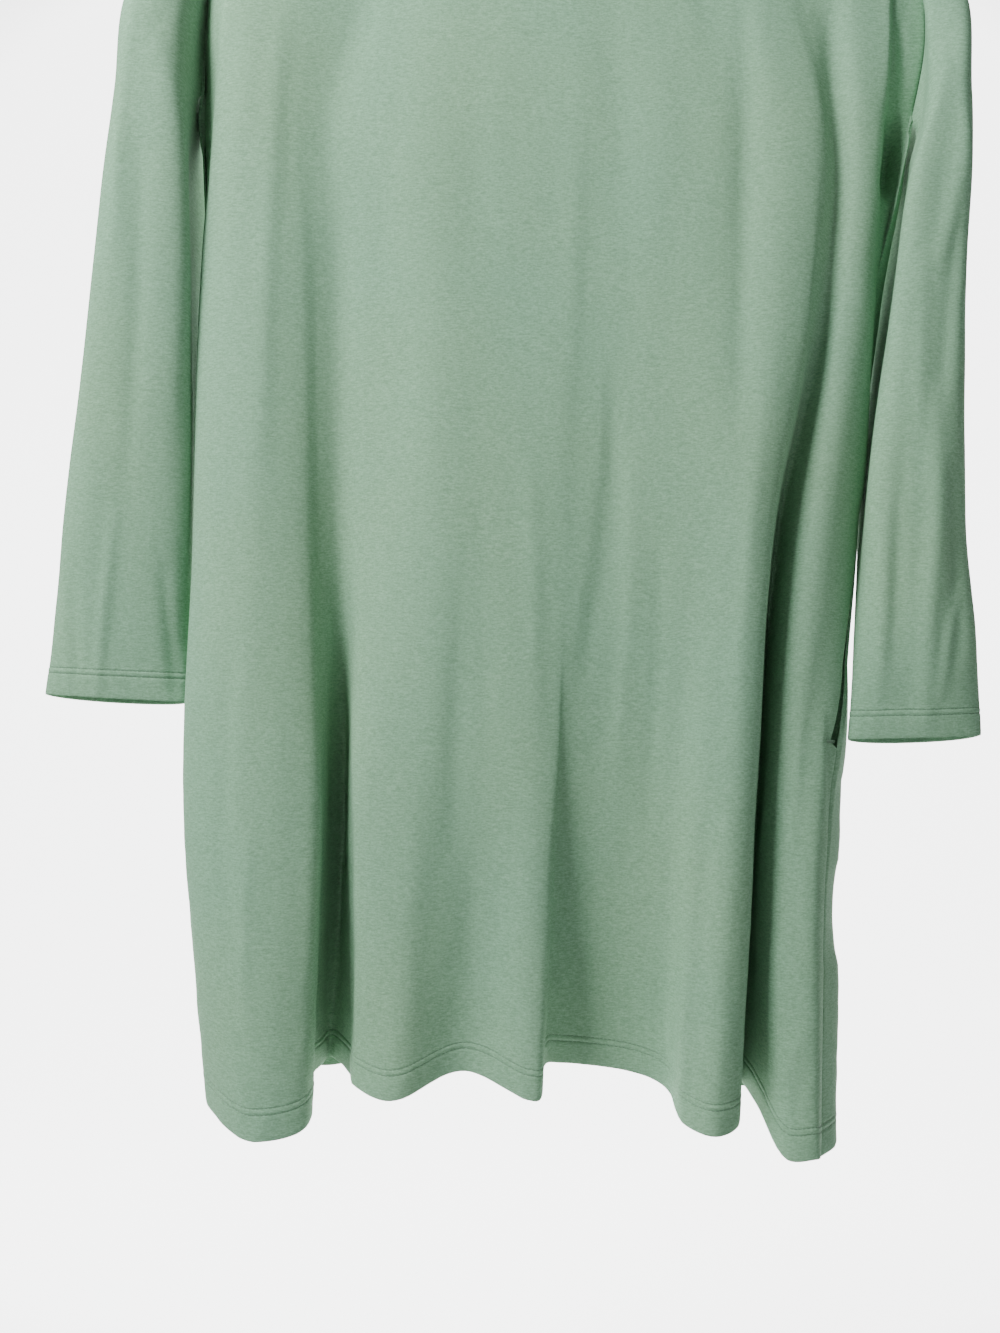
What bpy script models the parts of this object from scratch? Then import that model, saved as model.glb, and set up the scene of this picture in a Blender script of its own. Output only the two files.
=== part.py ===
"""A long-sleeved jersey swing dress on a slim wooden hanger.

The dress hangs from the hanger's hook: the origin is the inner top of the hook, +Z is up and
the dress faces -Y. Right and left are the wearer's, so the right sleeve lies towards -X.
Each sewn piece is a thin wall around a middle surface. A middle surface is a smooth sheet
through the folds or rings that the short tables below give in millimetres.
"""

import math

import bpy
import numpy as np

MM = 0.001

# Cloth
WALL = 1.3 * MM
HEM_WALL = 2.0 * MM
SEAM_GAP = 0.4 * MM
HEM_DEPTH = 24 * MM
COLUMN_STEP = 21 * MM
SKIRT_ROWS = 15
ARMHOLE_ROWS = 7
CHEST_SHARES = (1 / 3, 2 / 3)
ARMHOLE_REACH = 1 / 3

# Shoulders and neck
NECK_HALF = 90 * MM
NECK_HEIGHT = -88 * MM
SHOULDER_HALF = 210 * MM
SHOULDER_HEIGHT = -130 * MM
FRONT_NECK = {"drop": 85 * MM, "depth": 18 * MM}
BACK_NECK = {"drop": 22 * MM, "depth": 16 * MM}
ROLL_RADIUS = 5.9 * MM
BEND_DROP = ROLL_RADIUS * (1 - math.sqrt(0.5))
NECK_SHARES = (0.27, 0.73)
BAND_COLUMNS = 44
BAND_ROWS = 3
BAND_HEIGHT = 18 * MM
BAND_WALL = 1.8 * MM
BAND_LEAN = 1.1
BAND_LIFT = 0.7 * MM
NECK_CURVE = 1.2
NECK_ROUNDNESS = 0.5

# Heights of the body: the underarms, then each level's share of the way down to the hem
UNDERARM_HEIGHT = {"right": -285 * MM, "left": -310 * MM}
LEVEL_SHARES = (0.0, 0.174, 0.431, 0.707, 1.0)
BODY_LENGTH = 740 * MM
CHEST_LENGTH = 170 * MM

# Front folds from the right side seam to the left one, in millimetres.
# Columns: name, across and depth at the underarm, waist, hip, thigh and hem, height at the hem.
FRONT_FOLDS = (
    ("right_seam", (-259, 5), (-256, 12), (-257, 14), (-260, 14), (-250, 12), -1043),
    ("right_side_turn", (-244, -14), (-257, -8), (-262, -8), (-270, -10), (-251, -14), -1043),
    ("right_lobe", (-209, -24), (-213, -30), (-215, -38), (-215, -50), (-206, -64), -1057),
    ("right_lobe_edge", (-184, -20), (-180, -24), (-176, -30), (-166, -40), (-170, -46), -1047),
    ("first_valley_wall", (-170, -17), (-168, -18), (-166, -16), (-164, -18), (-175, -14), -1028),
    ("first_valley", (-157, -15), (-155, -15), (-155, -4), (-159, 0), (-166, 6), -1022),
    ("first_valley_rise", (-128, -20), (-127, -22), (-127, -26), (-142, -24), (-142, -22), -1029),
    ("first_ridge", (-88, -26), (-87, -32), (-87, -42), (-97, -56), (-110, -66), -1027),
    ("second_valley", (-47, -26), (-43, -32), (-43, -42), (-47, -50), (-57, -28), -1018),
    ("second_ridge", (-7, -26), (-7, -32), (-9, -42), (-7, -56), (-13, -66), -1026),
    ("second_ridge_edge", (23, -26), (20, -32), (11, -40), (8, -48), (-3, -54), -1027),
    ("third_valley_wall", (36, -25), (33, -30), (24, -36), (9, -34), (-1, -18), -1017),
    ("third_valley", (50, -24), (50, -28), (45, -30), (29, -18), (15, 2), -1019),
    ("third_valley_floor", (78, -26), (78, -32), (76, -40), (59, -36), (64, -8), -1024),
    ("third_valley_rise", (115, -26), (114, -34), (112, -45), (92, -44), (91, -30), -1033),
    ("third_ridge_fold", (146, -25), (143, -34), (137, -48), (111, -54), (97, -58), -1045),
    ("third_ridge", (178, -28), (175, -38), (151, -50), (135, -61), (119, -72), -1050),
    ("third_ridge_edge", (203, -24), (196, -32), (165, -42), (151, -50), (137, -56), -1047),
    ("fourth_valley_wall", (212, -18), (204, -24), (171, -25), (154, -28), (140, -25), -1037),
    ("fourth_valley", (220, -16), (213, -18), (179, -10), (164, -8), (151, 0), -1036),
    ("left_lobe_rise", (234, -18), (226, -22), (187, -24), (165, -28), (157, -25), -1043),
    ("left_lobe", (252, -14), (240, -18), (209, -28), (179, -46), (173, -60), -1071),
    ("left_lobe_side", (261, -8), (247, -8), (228, -14), (196, -38), (192, -52), -1074),
    ("left_seam", (279, 6), (251, 3), (238, 0), (210, -30), (200, -44), -1075),
)

# Back folds from the right side seam to the left one, in the same columns.
BACK_FOLDS = (
    ("right_seam", (-259, 5), (-256, 12), (-257, 14), (-260, 14), (-250, 12), -1043),
    ("right_back_turn", (-240, 20), (-242, 25), (-244, 28), (-246, 30), (-238, 32), -1044),
    ("sixth_ridge", (-182, 28), (-186, 34), (-192, 44), (-200, 52), (-204, 58), -1041),
    ("fifth_valley", (-150, 28), (-154, 31), (-160, 32), (-164, 26), (-162, 18), -1028),
    ("fifth_ridge", (-112, 30), (-114, 36), (-116, 50), (-118, 62), (-122, 70), -1033),
    ("fourth_valley", (-62, 30), (-66, 34), (-70, 42), (-76, 40), (-80, 34), -1025),
    ("fourth_ridge", (-20, 31), (-22, 38), (-26, 50), (-32, 60), (-38, 66), -1029),
    ("third_valley", (25, 30), (20, 33), (14, 34), (8, 26), (2, 14), -1021),
    ("third_ridge", (75, 31), (68, 38), (60, 50), (54, 64), (50, 71), -1033),
    ("second_valley", (122, 30), (114, 34), (104, 36), (96, 30), (92, 22), -1031),
    ("second_ridge", (160, 29), (152, 35), (142, 44), (132, 52), (126, 58), -1043),
    ("first_valley", (200, 27), (188, 30), (174, 34), (160, 32), (152, 26), -1046),
    ("first_ridge", (238, 25), (224, 29), (208, 36), (192, 44), (184, 52), -1058),
    ("left_back_turn", (268, 20), (250, 22), (235, 22), (223, 16), (212, 14), -1068),
    ("left_side_turn", (279, 13), (255, 11), (243, 8), (223, -8), (217, -22), -1073),
    ("left_seam", (279, 6), (251, 3), (238, 0), (210, -30), (200, -44), -1075),
)

# The armhole edge between shoulder and underarm, in millimetres.
# Columns: across, depth in front, depth behind, height.
ARMHOLES = {
    "right": ((-246, -8, 11, -178), (-258, -5, 12, -232)),
    "left": ((253, -8, 8, -181), (283, -3, 13, -240)),
}

# Sleeve rings from the shoulder to the cuff, in millimetres.
# Columns: name, outer fold across and height, inner fold across and height, half depth,
# depth of the middle, how much lower the back hangs, and the power of the ring's outline.
SLEEVE_RINGS = {
    "right": (
        ("cap", (-273, -167), (-264, -292), 28, 2, 0, 2.2),
        ("upper_arm", (-308, -206), (-266, -312), 44, 6, 0, 2.6),
        ("biceps", (-321, -285), (-264, -350), 48, 12, 0, 3.2),
        ("above_elbow", (-336, -410), (-263, -420), 46, 14, 0, 3.4),
        ("forearm", (-364, -609), (-267, -609), 33, 12, 0, 3.0),
        ("cuff", (-377, -741), (-270, -747), 9, 0, 4, 2.2),
    ),
    "left": (
        ("cap", (276, -168), (290, -323), 27, 2, 0, 2.2),
        ("upper_arm", (312, -206), (285, -331), 44, 6, 0, 2.6),
        ("biceps", (318, -290), (274, -364), 50, 10, 0, 3.0),
        ("above_elbow", (315, -420), (262, -426), 47, 10, 0, 3.2),
        ("forearm", (316, -609), (250, -609), 40, 12, 0, 3.0),
        ("wrist", (322, -700), (241, -702), 24, 8, 0, 2.6),
        ("cuff", (325, -771), (234, -774), 10, 2, 5, 2.2),
    ),
}
SLEEVE_ROWS = 17
SLEEVE_ROW_POWER = 1.15
RING_SAMPLES = 241

# Pocket mouths in the side seams, and the bags inside them
MOUTH_TOP = -622 * MM
MOUTH_BOTTOM = -776 * MM
MOUTH_WIDTH = {"right": 0.0, "left": 6 * MM}
MOUTH_POWER = 0.8
BAG_WALL = 1.0 * MM
BAG_TOP = -606 * MM
BAG_BOTTOM = -858 * MM
BAG_HALF_SPACE = 1.5 * MM
BAG_END_SPACE = 0.85
BAG_STEP = 1.2 * MM
BAG_STAND = 4 * MM
BAG_MOUTH_REACH = 0.42
BAG_TURN_START = 0.12
BAG_TURN_LENGTH = 0.78
BAG_TURN_POWER = 0.8
BAG_ROWS = 12
BAG_COLUMNS = 11
# The middle line of each bag inside its seam, in millimetres.
# Columns: height, then across and depth at the turn, the middle and the far edge.
BAG_LINES = {
    "left": (
        (-606, (226, 6), (190, 10), (112, 10)),
        (-700, (208, 0), (182, 10), (108, 10)),
        (-776, (204, -8), (178, 11), (104, 11)),
        (-858, (200, -12), (175, 12), (100, 12)),
    ),
    "right": (
        (-606, (-240, 11), (-205, 10), (-125, 12)),
        (-700, (-242, 11), (-205, 9), (-125, 12)),
        (-776, (-243, 11), (-205, 9), (-125, 13)),
        (-858, (-243, 11), (-205, 9), (-125, 14)),
    ),
}

# Hanger and hook
BAR_HALF_THICKNESS = 4.5 * MM
BAR_TIP_HEIGHT = 14 * MM
BAR_MIDDLE_HEIGHT = 24 * MM
BAR_TOP_BELOW_SEAM = ROLL_RADIUS - BAR_HALF_THICKNESS
BAR_HALF_LENGTH = 203 * MM
NOTCH_OUTER = 119 * MM
HUMP_TOP = -62 * MM
HUMP_HALF_WIDTH = 78 * MM
HUMP_FLAT = 14 * MM
BAR_SHARP_DEGREES = 60
BAR_STATIONS = 23
BAR_ARC_POINTS = 5
WIRE_RADIUS = 1.8 * MM
WIRE_SMOOTHNESS = 3
HOOK_INNER_RADIUS = 17 * MM
HOOK_START_DEGREES = -62
HOOK_END_DEGREES = 205
HOOK_ARC_POINTS = 22
HOOK_STEM_TOP = -48 * MM
HOOK_BEND = (0.35, 0.55)
HOOK_HOLE_DEPTH = 18 * MM
HOOK_HOLE_SIDES = 20
CUT_CLEARANCE = 4 * MM
FIT_GAP = 0.3 * MM

SAGE = (0.285, 0.392, 0.295, 1.0)
BEECH = (0.52, 0.34, 0.18, 1.0)
STEEL = (0.62, 0.62, 0.63, 1.0)


def clear_scene():
    for obj in list(bpy.data.objects):
        bpy.data.objects.remove(obj, do_unlink=True)


def make_material(name, colour, roughness, metallic=0.0):
    material = bpy.data.materials.new(name)
    material.use_nodes = True
    shader = material.node_tree.nodes["Principled BSDF"]
    shader.inputs["Base Color"].default_value = colour
    shader.inputs["Roughness"].default_value = roughness
    shader.inputs["Metallic"].default_value = metallic
    return material


def smooth_through(knots, values, at):
    """The values at the places asked for, on a smooth curve through the knots."""
    knots = np.asarray(knots, float)
    values = np.asarray(values, float)
    at = np.asarray(at, float)
    slopes = np.gradient(values, knots, axis=0)
    low = np.clip(np.searchsorted(knots, at, side="right") - 1, 0, len(knots) - 2)
    width = knots[low + 1] - knots[low]
    t = (at - knots[low]) / width
    trailing = (slice(None),) + (None,) * (values.ndim - 1)
    t, width = t[trailing], width[trailing]
    return (
        (2 * t**3 - 3 * t**2 + 1) * values[low]
        + (t**3 - 2 * t**2 + t) * width * slopes[low]
        + (3 * t**2 - 2 * t**3) * values[low + 1]
        + (t**3 - t**2) * width * slopes[low + 1]
    )


def unit(vectors):
    return vectors / np.maximum(np.linalg.norm(vectors, axis=-1, keepdims=True), 1e-12)


def fold_points(table):
    """Each fold's points at the levels, in metres: an array of folds, levels and xyz."""
    flat = np.array([[place for place in row[1:-1]] for row in table], float) * MM
    hem_heights = np.array([row[-1] for row in table]) * MM
    across = np.linspace(0.0, 1.0, len(table))
    top = UNDERARM_HEIGHT["right"] + across * (UNDERARM_HEIGHT["left"] - UNDERARM_HEIGHT["right"])
    shares = np.array(LEVEL_SHARES)
    heights = top[:, None] + (hem_heights - top)[:, None] * shares
    return np.dstack([flat, heights])


def column_places(folds):
    """The folds' shares of the width, and the shares of all columns, some between the folds."""
    steps = np.linalg.norm(np.diff(folds, axis=0), axis=2).mean(axis=1)
    shares = np.concatenate([[0.0], np.cumsum(steps)]) / steps.sum()
    columns = [0.0]
    for start, end, step in zip(shares[:-1], shares[1:], steps):
        count = math.ceil(step / COLUMN_STEP)
        columns.extend(start + (end - start) * (k + 1) / count for k in range(count))
    return shares, np.array(columns)


def row_places():
    """How far down each row lies, in metres: the shoulder roll, the armhole, then the skirt."""
    roll = [0.0, BEND_DROP, ROLL_RADIUS]
    armhole = np.linspace(ROLL_RADIUS, CHEST_LENGTH, ARMHOLE_ROWS)[1:]
    hem_top = CHEST_LENGTH + BODY_LENGTH - HEM_DEPTH
    skirt = np.linspace(CHEST_LENGTH, hem_top, SKIRT_ROWS)[1:]
    return np.concatenate([roll, armhole, skirt, [hem_top + HEM_DEPTH]])


UNDERARM_ROW = 2 + ARMHOLE_ROWS - 1


def top_edge(columns, neck, side):
    """The panel's upper edge: shoulder seam, neckline and shoulder seam."""
    first, last = NECK_SHARES
    line = np.interp(columns, [0, first, last, 1], [-1, 0, 0, 1])
    angle = np.interp(columns, [first, last], [0, math.pi])
    in_neck = np.sin(angle)
    across = np.sign(line) * (NECK_HALF + np.abs(line) * (SHOULDER_HALF - NECK_HALF))
    across = np.where(line == 0, -NECK_HALF * neck_across(angle), across)
    fall = np.abs(line) * (SHOULDER_HEIGHT - NECK_HEIGHT)
    drop = neck["drop"] * in_neck**NECK_CURVE
    depth = roll_depth(drop) + (neck["depth"] - ROLL_RADIUS) * in_neck
    return np.stack([across, side * depth, NECK_HEIGHT + fall - drop], axis=1)


def neck_across(angle):
    """The neckline's place from one side, 1, to the other, -1, at angles from 0 to half a turn."""
    return NECK_ROUNDNESS * np.cos(angle) + (1 - NECK_ROUNDNESS) * (1 - 2 * angle / math.pi)


def roll_depth(drop):
    """How far out the cloth stands at a drop below the hanger's upper edge."""
    return np.sqrt(np.maximum(ROLL_RADIUS**2 - np.maximum(ROLL_RADIUS - drop, 0) ** 2, 0))


def below_top(top, side, drop):
    """The upper edge moved down by a drop and out round the hanger."""
    depth = np.maximum(np.abs(top[:, 1]), roll_depth(drop))
    return np.stack([top[:, 0], side * depth, top[:, 2] - drop], axis=1)


def neck_column(columns, share):
    return int(np.argmin(np.abs(columns - share)))


def panel_middle(table, neck, side, depth_index):
    """The middle surface of a body panel: an array of columns, rows and xyz."""
    folds = fold_points(table)
    shares, columns = column_places(folds)
    for share in NECK_SHARES:
        columns[neck_column(columns, share)] = share
    levels = smooth_through(shares, folds, columns)
    top = top_edge(columns, neck, side)
    bent, side_on = (below_top(top, side, drop) for drop in (BEND_DROP, ROLL_RADIUS))
    near_right = np.clip(1 - columns / ARMHOLE_REACH, 0, 1)[:, None] ** 2
    near_left = np.clip(1 - (1 - columns) / ARMHOLE_REACH, 0, 1)[:, None] ** 2
    chest = []
    for index, share in enumerate(CHEST_SHARES):
        sheet = (1 - share) * side_on + share * levels[:, 0]
        for name, weight, column in (("right", near_right, 0), ("left", near_left, -1)):
            row = ARMHOLES[name][index]
            edge = np.array([row[0], row[depth_index], row[3]]) * MM
            sheet = sheet + weight * (edge - sheet[column])
        chest.append(sheet)
    stations = np.stack([top, bent, side_on, *chest, *levels.transpose(1, 0, 2)])
    chest_knots = ROLL_RADIUS + (CHEST_LENGTH - ROLL_RADIUS) * np.array(CHEST_SHARES)
    level_knots = CHEST_LENGTH + BODY_LENGTH * np.array(LEVEL_SHARES)
    knots = np.concatenate([[0, BEND_DROP, ROLL_RADIUS], chest_knots, level_knots])
    middle = smooth_through(knots, stations, row_places()).transpose(1, 0, 2)
    return middle, columns


def sleeve_ring(row, places):
    """Points round one ring at the given shares of its length, from the outer fold forwards."""
    _, outer, inner, half_depth, centre_depth, back_drop, power = row
    outer = np.array([outer[0], centre_depth, outer[1]]) * MM
    inner = np.array([inner[0], centre_depth, inner[1]]) * MM
    turn = np.linspace(0, 2 * math.pi, RING_SAMPLES)[:, None]
    outwards, forwards = (
        np.sign(wave) * np.abs(wave) ** (2 / power) for wave in (np.cos(turn), np.sin(turn))
    )
    depth = np.array([0, -half_depth, 0]) * MM
    drop = np.array([0, 0, back_drop]) * MM * np.minimum(np.sin(turn), 0)
    points = (outer + inner) / 2 + (outer - inner) / 2 * outwards + depth * forwards + drop
    steps = np.linalg.norm(np.diff(points, axis=0), axis=1)
    lengths = np.concatenate([[0], np.cumsum(steps)]) / steps.sum()
    return np.stack([np.interp(places, lengths, points[:, axis]) for axis in range(3)], axis=1)


def strand_places(armhole):
    """Shares for the sleeve's strands, half of the way round in front and half behind."""
    count = UNDERARM_ROW + 1
    steps = np.linalg.norm(np.diff(np.vstack([armhole, armhole[:1]]), axis=0), axis=1)
    lengths = np.concatenate([[0], np.cumsum(steps)])
    under = lengths[count - 1]
    return np.interp(lengths[:-1], [0, under, lengths[-1]], [0, 0.5, 1])


def sleeve_middle(name, armhole):
    """The middle surface of a sleeve: an array of strands, rows and xyz."""
    places = strand_places(armhole)
    rings = [sleeve_ring(row, places) for row in SLEEVE_RINGS[name]]
    stations = np.stack([armhole, *rings])
    steps = np.linalg.norm(np.diff(stations, axis=0), axis=2).mean(axis=1)
    knots = np.concatenate([[0], np.cumsum(steps)])
    rows = np.linspace(0, 1, SLEEVE_ROWS) ** SLEEVE_ROW_POWER * (knots[-1] - HEM_DEPTH)
    rows = np.append(rows, knots[-1])
    return smooth_through(knots, stations, rows).transpose(1, 0, 2)


def surface_normals(middle, outward, closed=False):
    """Unit normals of a middle surface, turned outwards by the sign given."""
    if closed:
        around = np.roll(middle, -1, axis=0) - np.roll(middle, 1, axis=0)
    else:
        around = np.gradient(middle, axis=0)
    along = np.gradient(middle, axis=1)
    return unit(outward * np.cross(around, along))


def share_normals(*places):
    """Gives the same mean normal to each of the (normals, column, row) places of one seam."""
    mean = unit(sum(normals[column, row] for normals, column, row in places))
    for normals, column, row in places:
        normals[column, row] = mean


def drawn_back(edge, inside, normals, distance, closed=False):
    """Edge points moved within the cloth, at right angles to the edge, to leave a seam's gap."""
    if closed:
        tangent = np.roll(edge, -1, axis=0) - np.roll(edge, 1, axis=0)
    else:
        tangent = np.gradient(edge, axis=0)
    aside = unit(np.cross(normals, tangent))
    towards = np.sum(aside * (inside - edge), axis=1, keepdims=True)
    aside = np.where(towards < 0, -aside, aside)
    return edge + aside * np.broadcast_to(distance, len(edge))[:, None]


def wall_object(name, middle, normals, thickness, material, closed=False):
    """A closed wall round a middle surface; the thickness is one value or one for each row."""
    columns, rows = middle.shape[:2]
    half = np.broadcast_to(np.asarray(thickness, float), (rows,))[None, :, None] / 2
    points = np.concatenate([(middle + normals * half), (middle - normals * half)])
    points = points.reshape(-1, 3)
    inner = columns * rows

    def index(column, row, offset=0):
        return (column % columns) * rows + row + offset

    faces = []
    for column in range(columns if closed else columns - 1):
        for row in range(rows - 1):
            corners = [index(column + i, row + j) for i, j in ((0, 0), (1, 0), (1, 1), (0, 1))]
            for triangle in (corners[:3], [corners[0], *corners[2:]]):
                faces.append(triangle)
                faces.append([corner + inner for corner in reversed(triangle)])
        for row, flip in ((0, False), (rows - 1, True)):
            rim = [index(column, row), index(column, row, inner)]
            rim += [index(column + 1, row, inner), index(column + 1, row)]
            faces.append(rim[::-1] if flip else rim)
    if not closed:
        for row in range(rows - 1):
            for column, flip in ((0, True), (columns - 1, False)):
                rim = [index(column, row), index(column, row, inner)]
                rim += [index(column, row + 1, inner), index(column, row + 1)]
                faces.append(rim[::-1] if flip else rim)
    if signed_volume(points, faces) < 0:
        faces = [face[::-1] for face in faces]
    return mesh_object(name, points, faces, material)


def signed_volume(points, faces):
    total = 0.0
    for face in faces:
        first, *others = (points[corner] for corner in face)
        for second, third in zip(others, others[1:]):
            total += np.dot(first, np.cross(second, third))
    return total / 6


def mesh_object(name, points, faces, material):
    mesh = bpy.data.meshes.new(name)
    mesh.from_pydata([tuple(point) for point in points], [], faces)
    mesh.shade_smooth()
    mesh.materials.append(material)
    obj = bpy.data.objects.new(name, mesh)
    bpy.context.scene.collection.objects.link(obj)
    return obj


def mouth_gap(name, heights):
    """How far the front edge stands back from the side seam at the pocket's mouth."""
    share = (MOUTH_TOP - heights) / (MOUTH_TOP - MOUTH_BOTTOM)
    inside = (share >= 0) & (share <= 1)
    return np.where(inside, MOUTH_WIDTH[name] * np.clip(share, 0, 1) ** MOUTH_POWER, 0.0)


def body_thickness(rows):
    thickness = np.full(rows, WALL)
    thickness[-2:] = HEM_WALL
    return thickness


def make_dress_cloth():
    """Both panels and both sleeves, with shared normals where they are sewn; gives the panels."""
    front, front_columns = panel_middle(FRONT_FOLDS, FRONT_NECK, -1, 1)
    back, back_columns = panel_middle(BACK_FOLDS, BACK_NECK, 1, 2)
    under = UNDERARM_ROW
    for column in (0, -1):
        seam = (front[column, under:] + back[column, under:]) / 2
        front[column, under:] = seam
        back[column, under:] = seam
    front_normals = surface_normals(front, -1)
    back_normals = surface_normals(back, 1)
    sleeves = {}
    for name, column, outward in (("right", 0, -1), ("left", -1, 1)):
        armhole = np.vstack([front[column, : under + 1], back[column, under - 1 : 0 : -1]])
        middle = sleeve_middle(name, armhole)
        sleeves[name] = [middle, surface_normals(middle, outward, closed=True)]
    join_seam_normals(front_normals, back_normals, sleeves, front_columns, back_columns)
    front, back = (panel.copy() for panel in (front, back))
    edge_gap = SEAM_GAP / 2
    for name, column, inside in (("right", 0, 1), ("left", -1, -2)):
        opened = edge_gap + mouth_gap(name, front[column, :, 2])
        for panel, normals, gap in ((front, front_normals, opened), (back, back_normals, edge_gap)):
            panel[column] = drawn_back(panel[column], panel[inside], normals[column], gap)
        middle, normals = sleeves[name]
        middle[:, 0] = drawn_back(middle[:, 0], middle[:, 1], normals[:, 0], edge_gap, closed=True)
    for panel, normals, columns in (
        (front, front_normals, front_columns),
        (back, back_normals, back_columns),
    ):
        first, last = (neck_column(columns, share) for share in NECK_SHARES)
        for part in (slice(0, first + 1), slice(last, None)):
            edge, inside = panel[part, 0], panel[part, 1]
            panel[part, 0] = drawn_back(edge, inside, normals[part, 0], edge_gap)
    thickness = body_thickness(front.shape[1])
    cloth = make_material("front_cloth", SAGE, 0.85)
    wall_object("front_panel", front, front_normals, thickness, cloth)
    cloth = make_material("back_cloth", SAGE, 0.85)
    wall_object("back_panel", back, back_normals, thickness, cloth)
    for name, (middle, normals) in sleeves.items():
        cloth = make_material(name + "_sleeve_cloth", SAGE, 0.85)
        thickness = body_thickness(middle.shape[1])
        wall_object(name + "_sleeve", middle, normals, thickness, cloth, closed=True)
    return (front, front_normals), (back, back_normals)


def join_seam_normals(front_normals, back_normals, sleeves, front_columns, back_columns):
    """Makes neighbouring pieces agree on the direction of their walls along each seam."""
    under = UNDERARM_ROW
    rows = front_normals.shape[1]
    for name, column in (("right", 0), ("left", -1)):
        sleeve = sleeves[name][1]
        strands = sleeve.shape[0]
        sign = -1 if name == "right" else 1
        slope = math.atan2(NECK_HEIGHT - SHOULDER_HEIGHT, SHOULDER_HALF - NECK_HALF)
        up = np.array([sign * math.sin(slope), 0.0, math.cos(slope)])
        for normals, columns in ((front_normals, front_columns), (back_normals, back_columns)):
            first, last = (neck_column(columns, share) for share in NECK_SHARES)
            part = slice(0, first + 1) if name == "right" else slice(last, None)
            normals[part, 0] = up
        sleeve[0, 0] = up
        share_normals((front_normals, column, 0), (back_normals, column, 0), (sleeve, 0, 0))
        for row in range(1, under):
            share_normals((front_normals, column, row), (sleeve, row, 0))
            share_normals((back_normals, column, row), (sleeve, strands - row, 0))
        down = np.array([0.0, 0.0, -1.0])
        for normals, where in ((front_normals, (column, under)), (back_normals, (column, under))):
            normals[where] = down
        sleeve[under, 0] = down
        for row in range(under + 1, rows):
            share_normals((front_normals, column, row), (back_normals, column, row))


def make_neckband():
    """A plain band round the neck opening, standing inside the neckline's edge."""
    turn = np.linspace(0, 2 * math.pi, BAND_COLUMNS, endpoint=False)
    rise = np.sin(turn)
    side = -np.sign(rise)
    drop = np.where(rise > 0, FRONT_NECK["drop"], BACK_NECK["drop"])
    depth = np.where(rise > 0, FRONT_NECK["depth"], BACK_NECK["depth"])
    rise = np.abs(rise)
    sideways = neck_across(np.minimum(turn, 2 * math.pi - turn))
    step = (SEAM_GAP + BAND_WALL / 2 + WALL / 2) * sideways**2
    drop = drop * rise**NECK_CURVE
    depth = roll_depth(drop) + (depth - ROLL_RADIUS) * rise
    across = -sideways * (NECK_HALF - step - SEAM_GAP)
    ring = np.stack([across, side * depth, NECK_HEIGHT - drop + BAND_LIFT], axis=1)
    lean = unit(np.stack([BAND_LEAN * sideways, 0 * turn, 0 * turn + 1], axis=1))
    rows = np.linspace(0.0, BAND_HEIGHT, BAND_ROWS)
    middle = ring[:, None] + lean[:, None] * rows[None, :, None]
    normals = surface_normals(middle, -1, closed=True)
    material = make_material("neckband_cloth", SAGE, 0.85)
    wall_object("neckband", middle, normals, BAND_WALL, material, closed=True)


def bag_reach(share):
    """How far in the pocket bag reaches at each share of its height, from 0 to 1."""
    turn = math.pi * (BAG_TURN_START + BAG_TURN_LENGTH * share)
    return BAG_MOUTH_REACH + (1 - BAG_MOUTH_REACH) * math.sin(turn) ** BAG_TURN_POWER


def column_at(sheet, heights, levels):
    """One column of a sheet's values, read at other heights."""
    return np.stack([np.interp(-levels, -heights, sheet[:, axis]) for axis in range(3)], axis=1)


def bag_seats(panel, normals, column, inside, levels):
    """Where a bag's layer is sewn: just inside a panel, a step from its edge, at each level."""
    edge = column_at(panel[column], panel[column, :, 2], levels)
    next_to_it = column_at(panel[inside], panel[inside, :, 2], levels)
    inwards = -unit(column_at(normals[column], panel[column, :, 2], levels))
    seat = edge + unit(next_to_it - edge) * BAG_STEP + inwards * (WALL / 2 + FIT_GAP)
    return seat[:, :2], unit(inwards[:, :2])


def make_pocket_bag(name, panels):
    """A flat bag of one folded sheet: the front layer, the far fold, then the back layer."""
    column, inside, turn_side = (0, 1, 1) if name == "right" else (-1, -2, -1)
    lines = BAG_LINES[name]
    heights = np.array([row[0] for row in lines], float) * MM
    points = np.array([row[1:] for row in lines], float) * MM
    shares = np.linspace(0, 1, BAG_ROWS)
    levels = BAG_TOP + (BAG_BOTTOM - BAG_TOP) * shares
    spines = smooth_through(-heights, points, -levels)
    seats = [bag_seats(*panel, column, inside, levels) for panel in panels]
    loops = []
    for row, (level, share) in enumerate(zip(levels, shares)):
        ends = [(seat[row], seat[row] + inwards[row] * BAG_STAND) for seat, inwards in seats]
        start = (ends[0][1] + ends[1][1]) / 2
        spine = np.vstack([start, spines[row]])
        knots = np.concatenate([[0], np.cumsum(np.linalg.norm(np.diff(spine, axis=0), axis=1))])
        along = np.linspace(knots[1] / 2, knots[-1] * bag_reach(share), BAG_COLUMNS)
        line = smooth_through(knots, spine, along)
        direction = unit(np.gradient(line, axis=0))
        backwards = turn_side * np.stack([-direction[:, 1], direction[:, 0]], axis=1)
        swell = math.sin(math.pi * share)
        half = BAG_HALF_SPACE * (BAG_END_SPACE + (1 - BAG_END_SPACE) * swell)
        nose = line[-1] + direction[-1] * half
        front = np.vstack([*ends[0], line - backwards * half])
        back = np.vstack([*ends[1], line + backwards * half])
        loop = np.vstack([front, nose[None], back[::-1]])
        loops.append(np.column_stack([loop, np.full(len(loop), level)]))
    middle = np.array(loops).transpose(1, 0, 2)
    normals = surface_normals(middle, 1)
    material = make_material(name + "_pocket_cloth", SAGE, 0.85)
    wall_object(name + "_pocket_bag", middle, normals, BAG_WALL, material)


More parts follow.
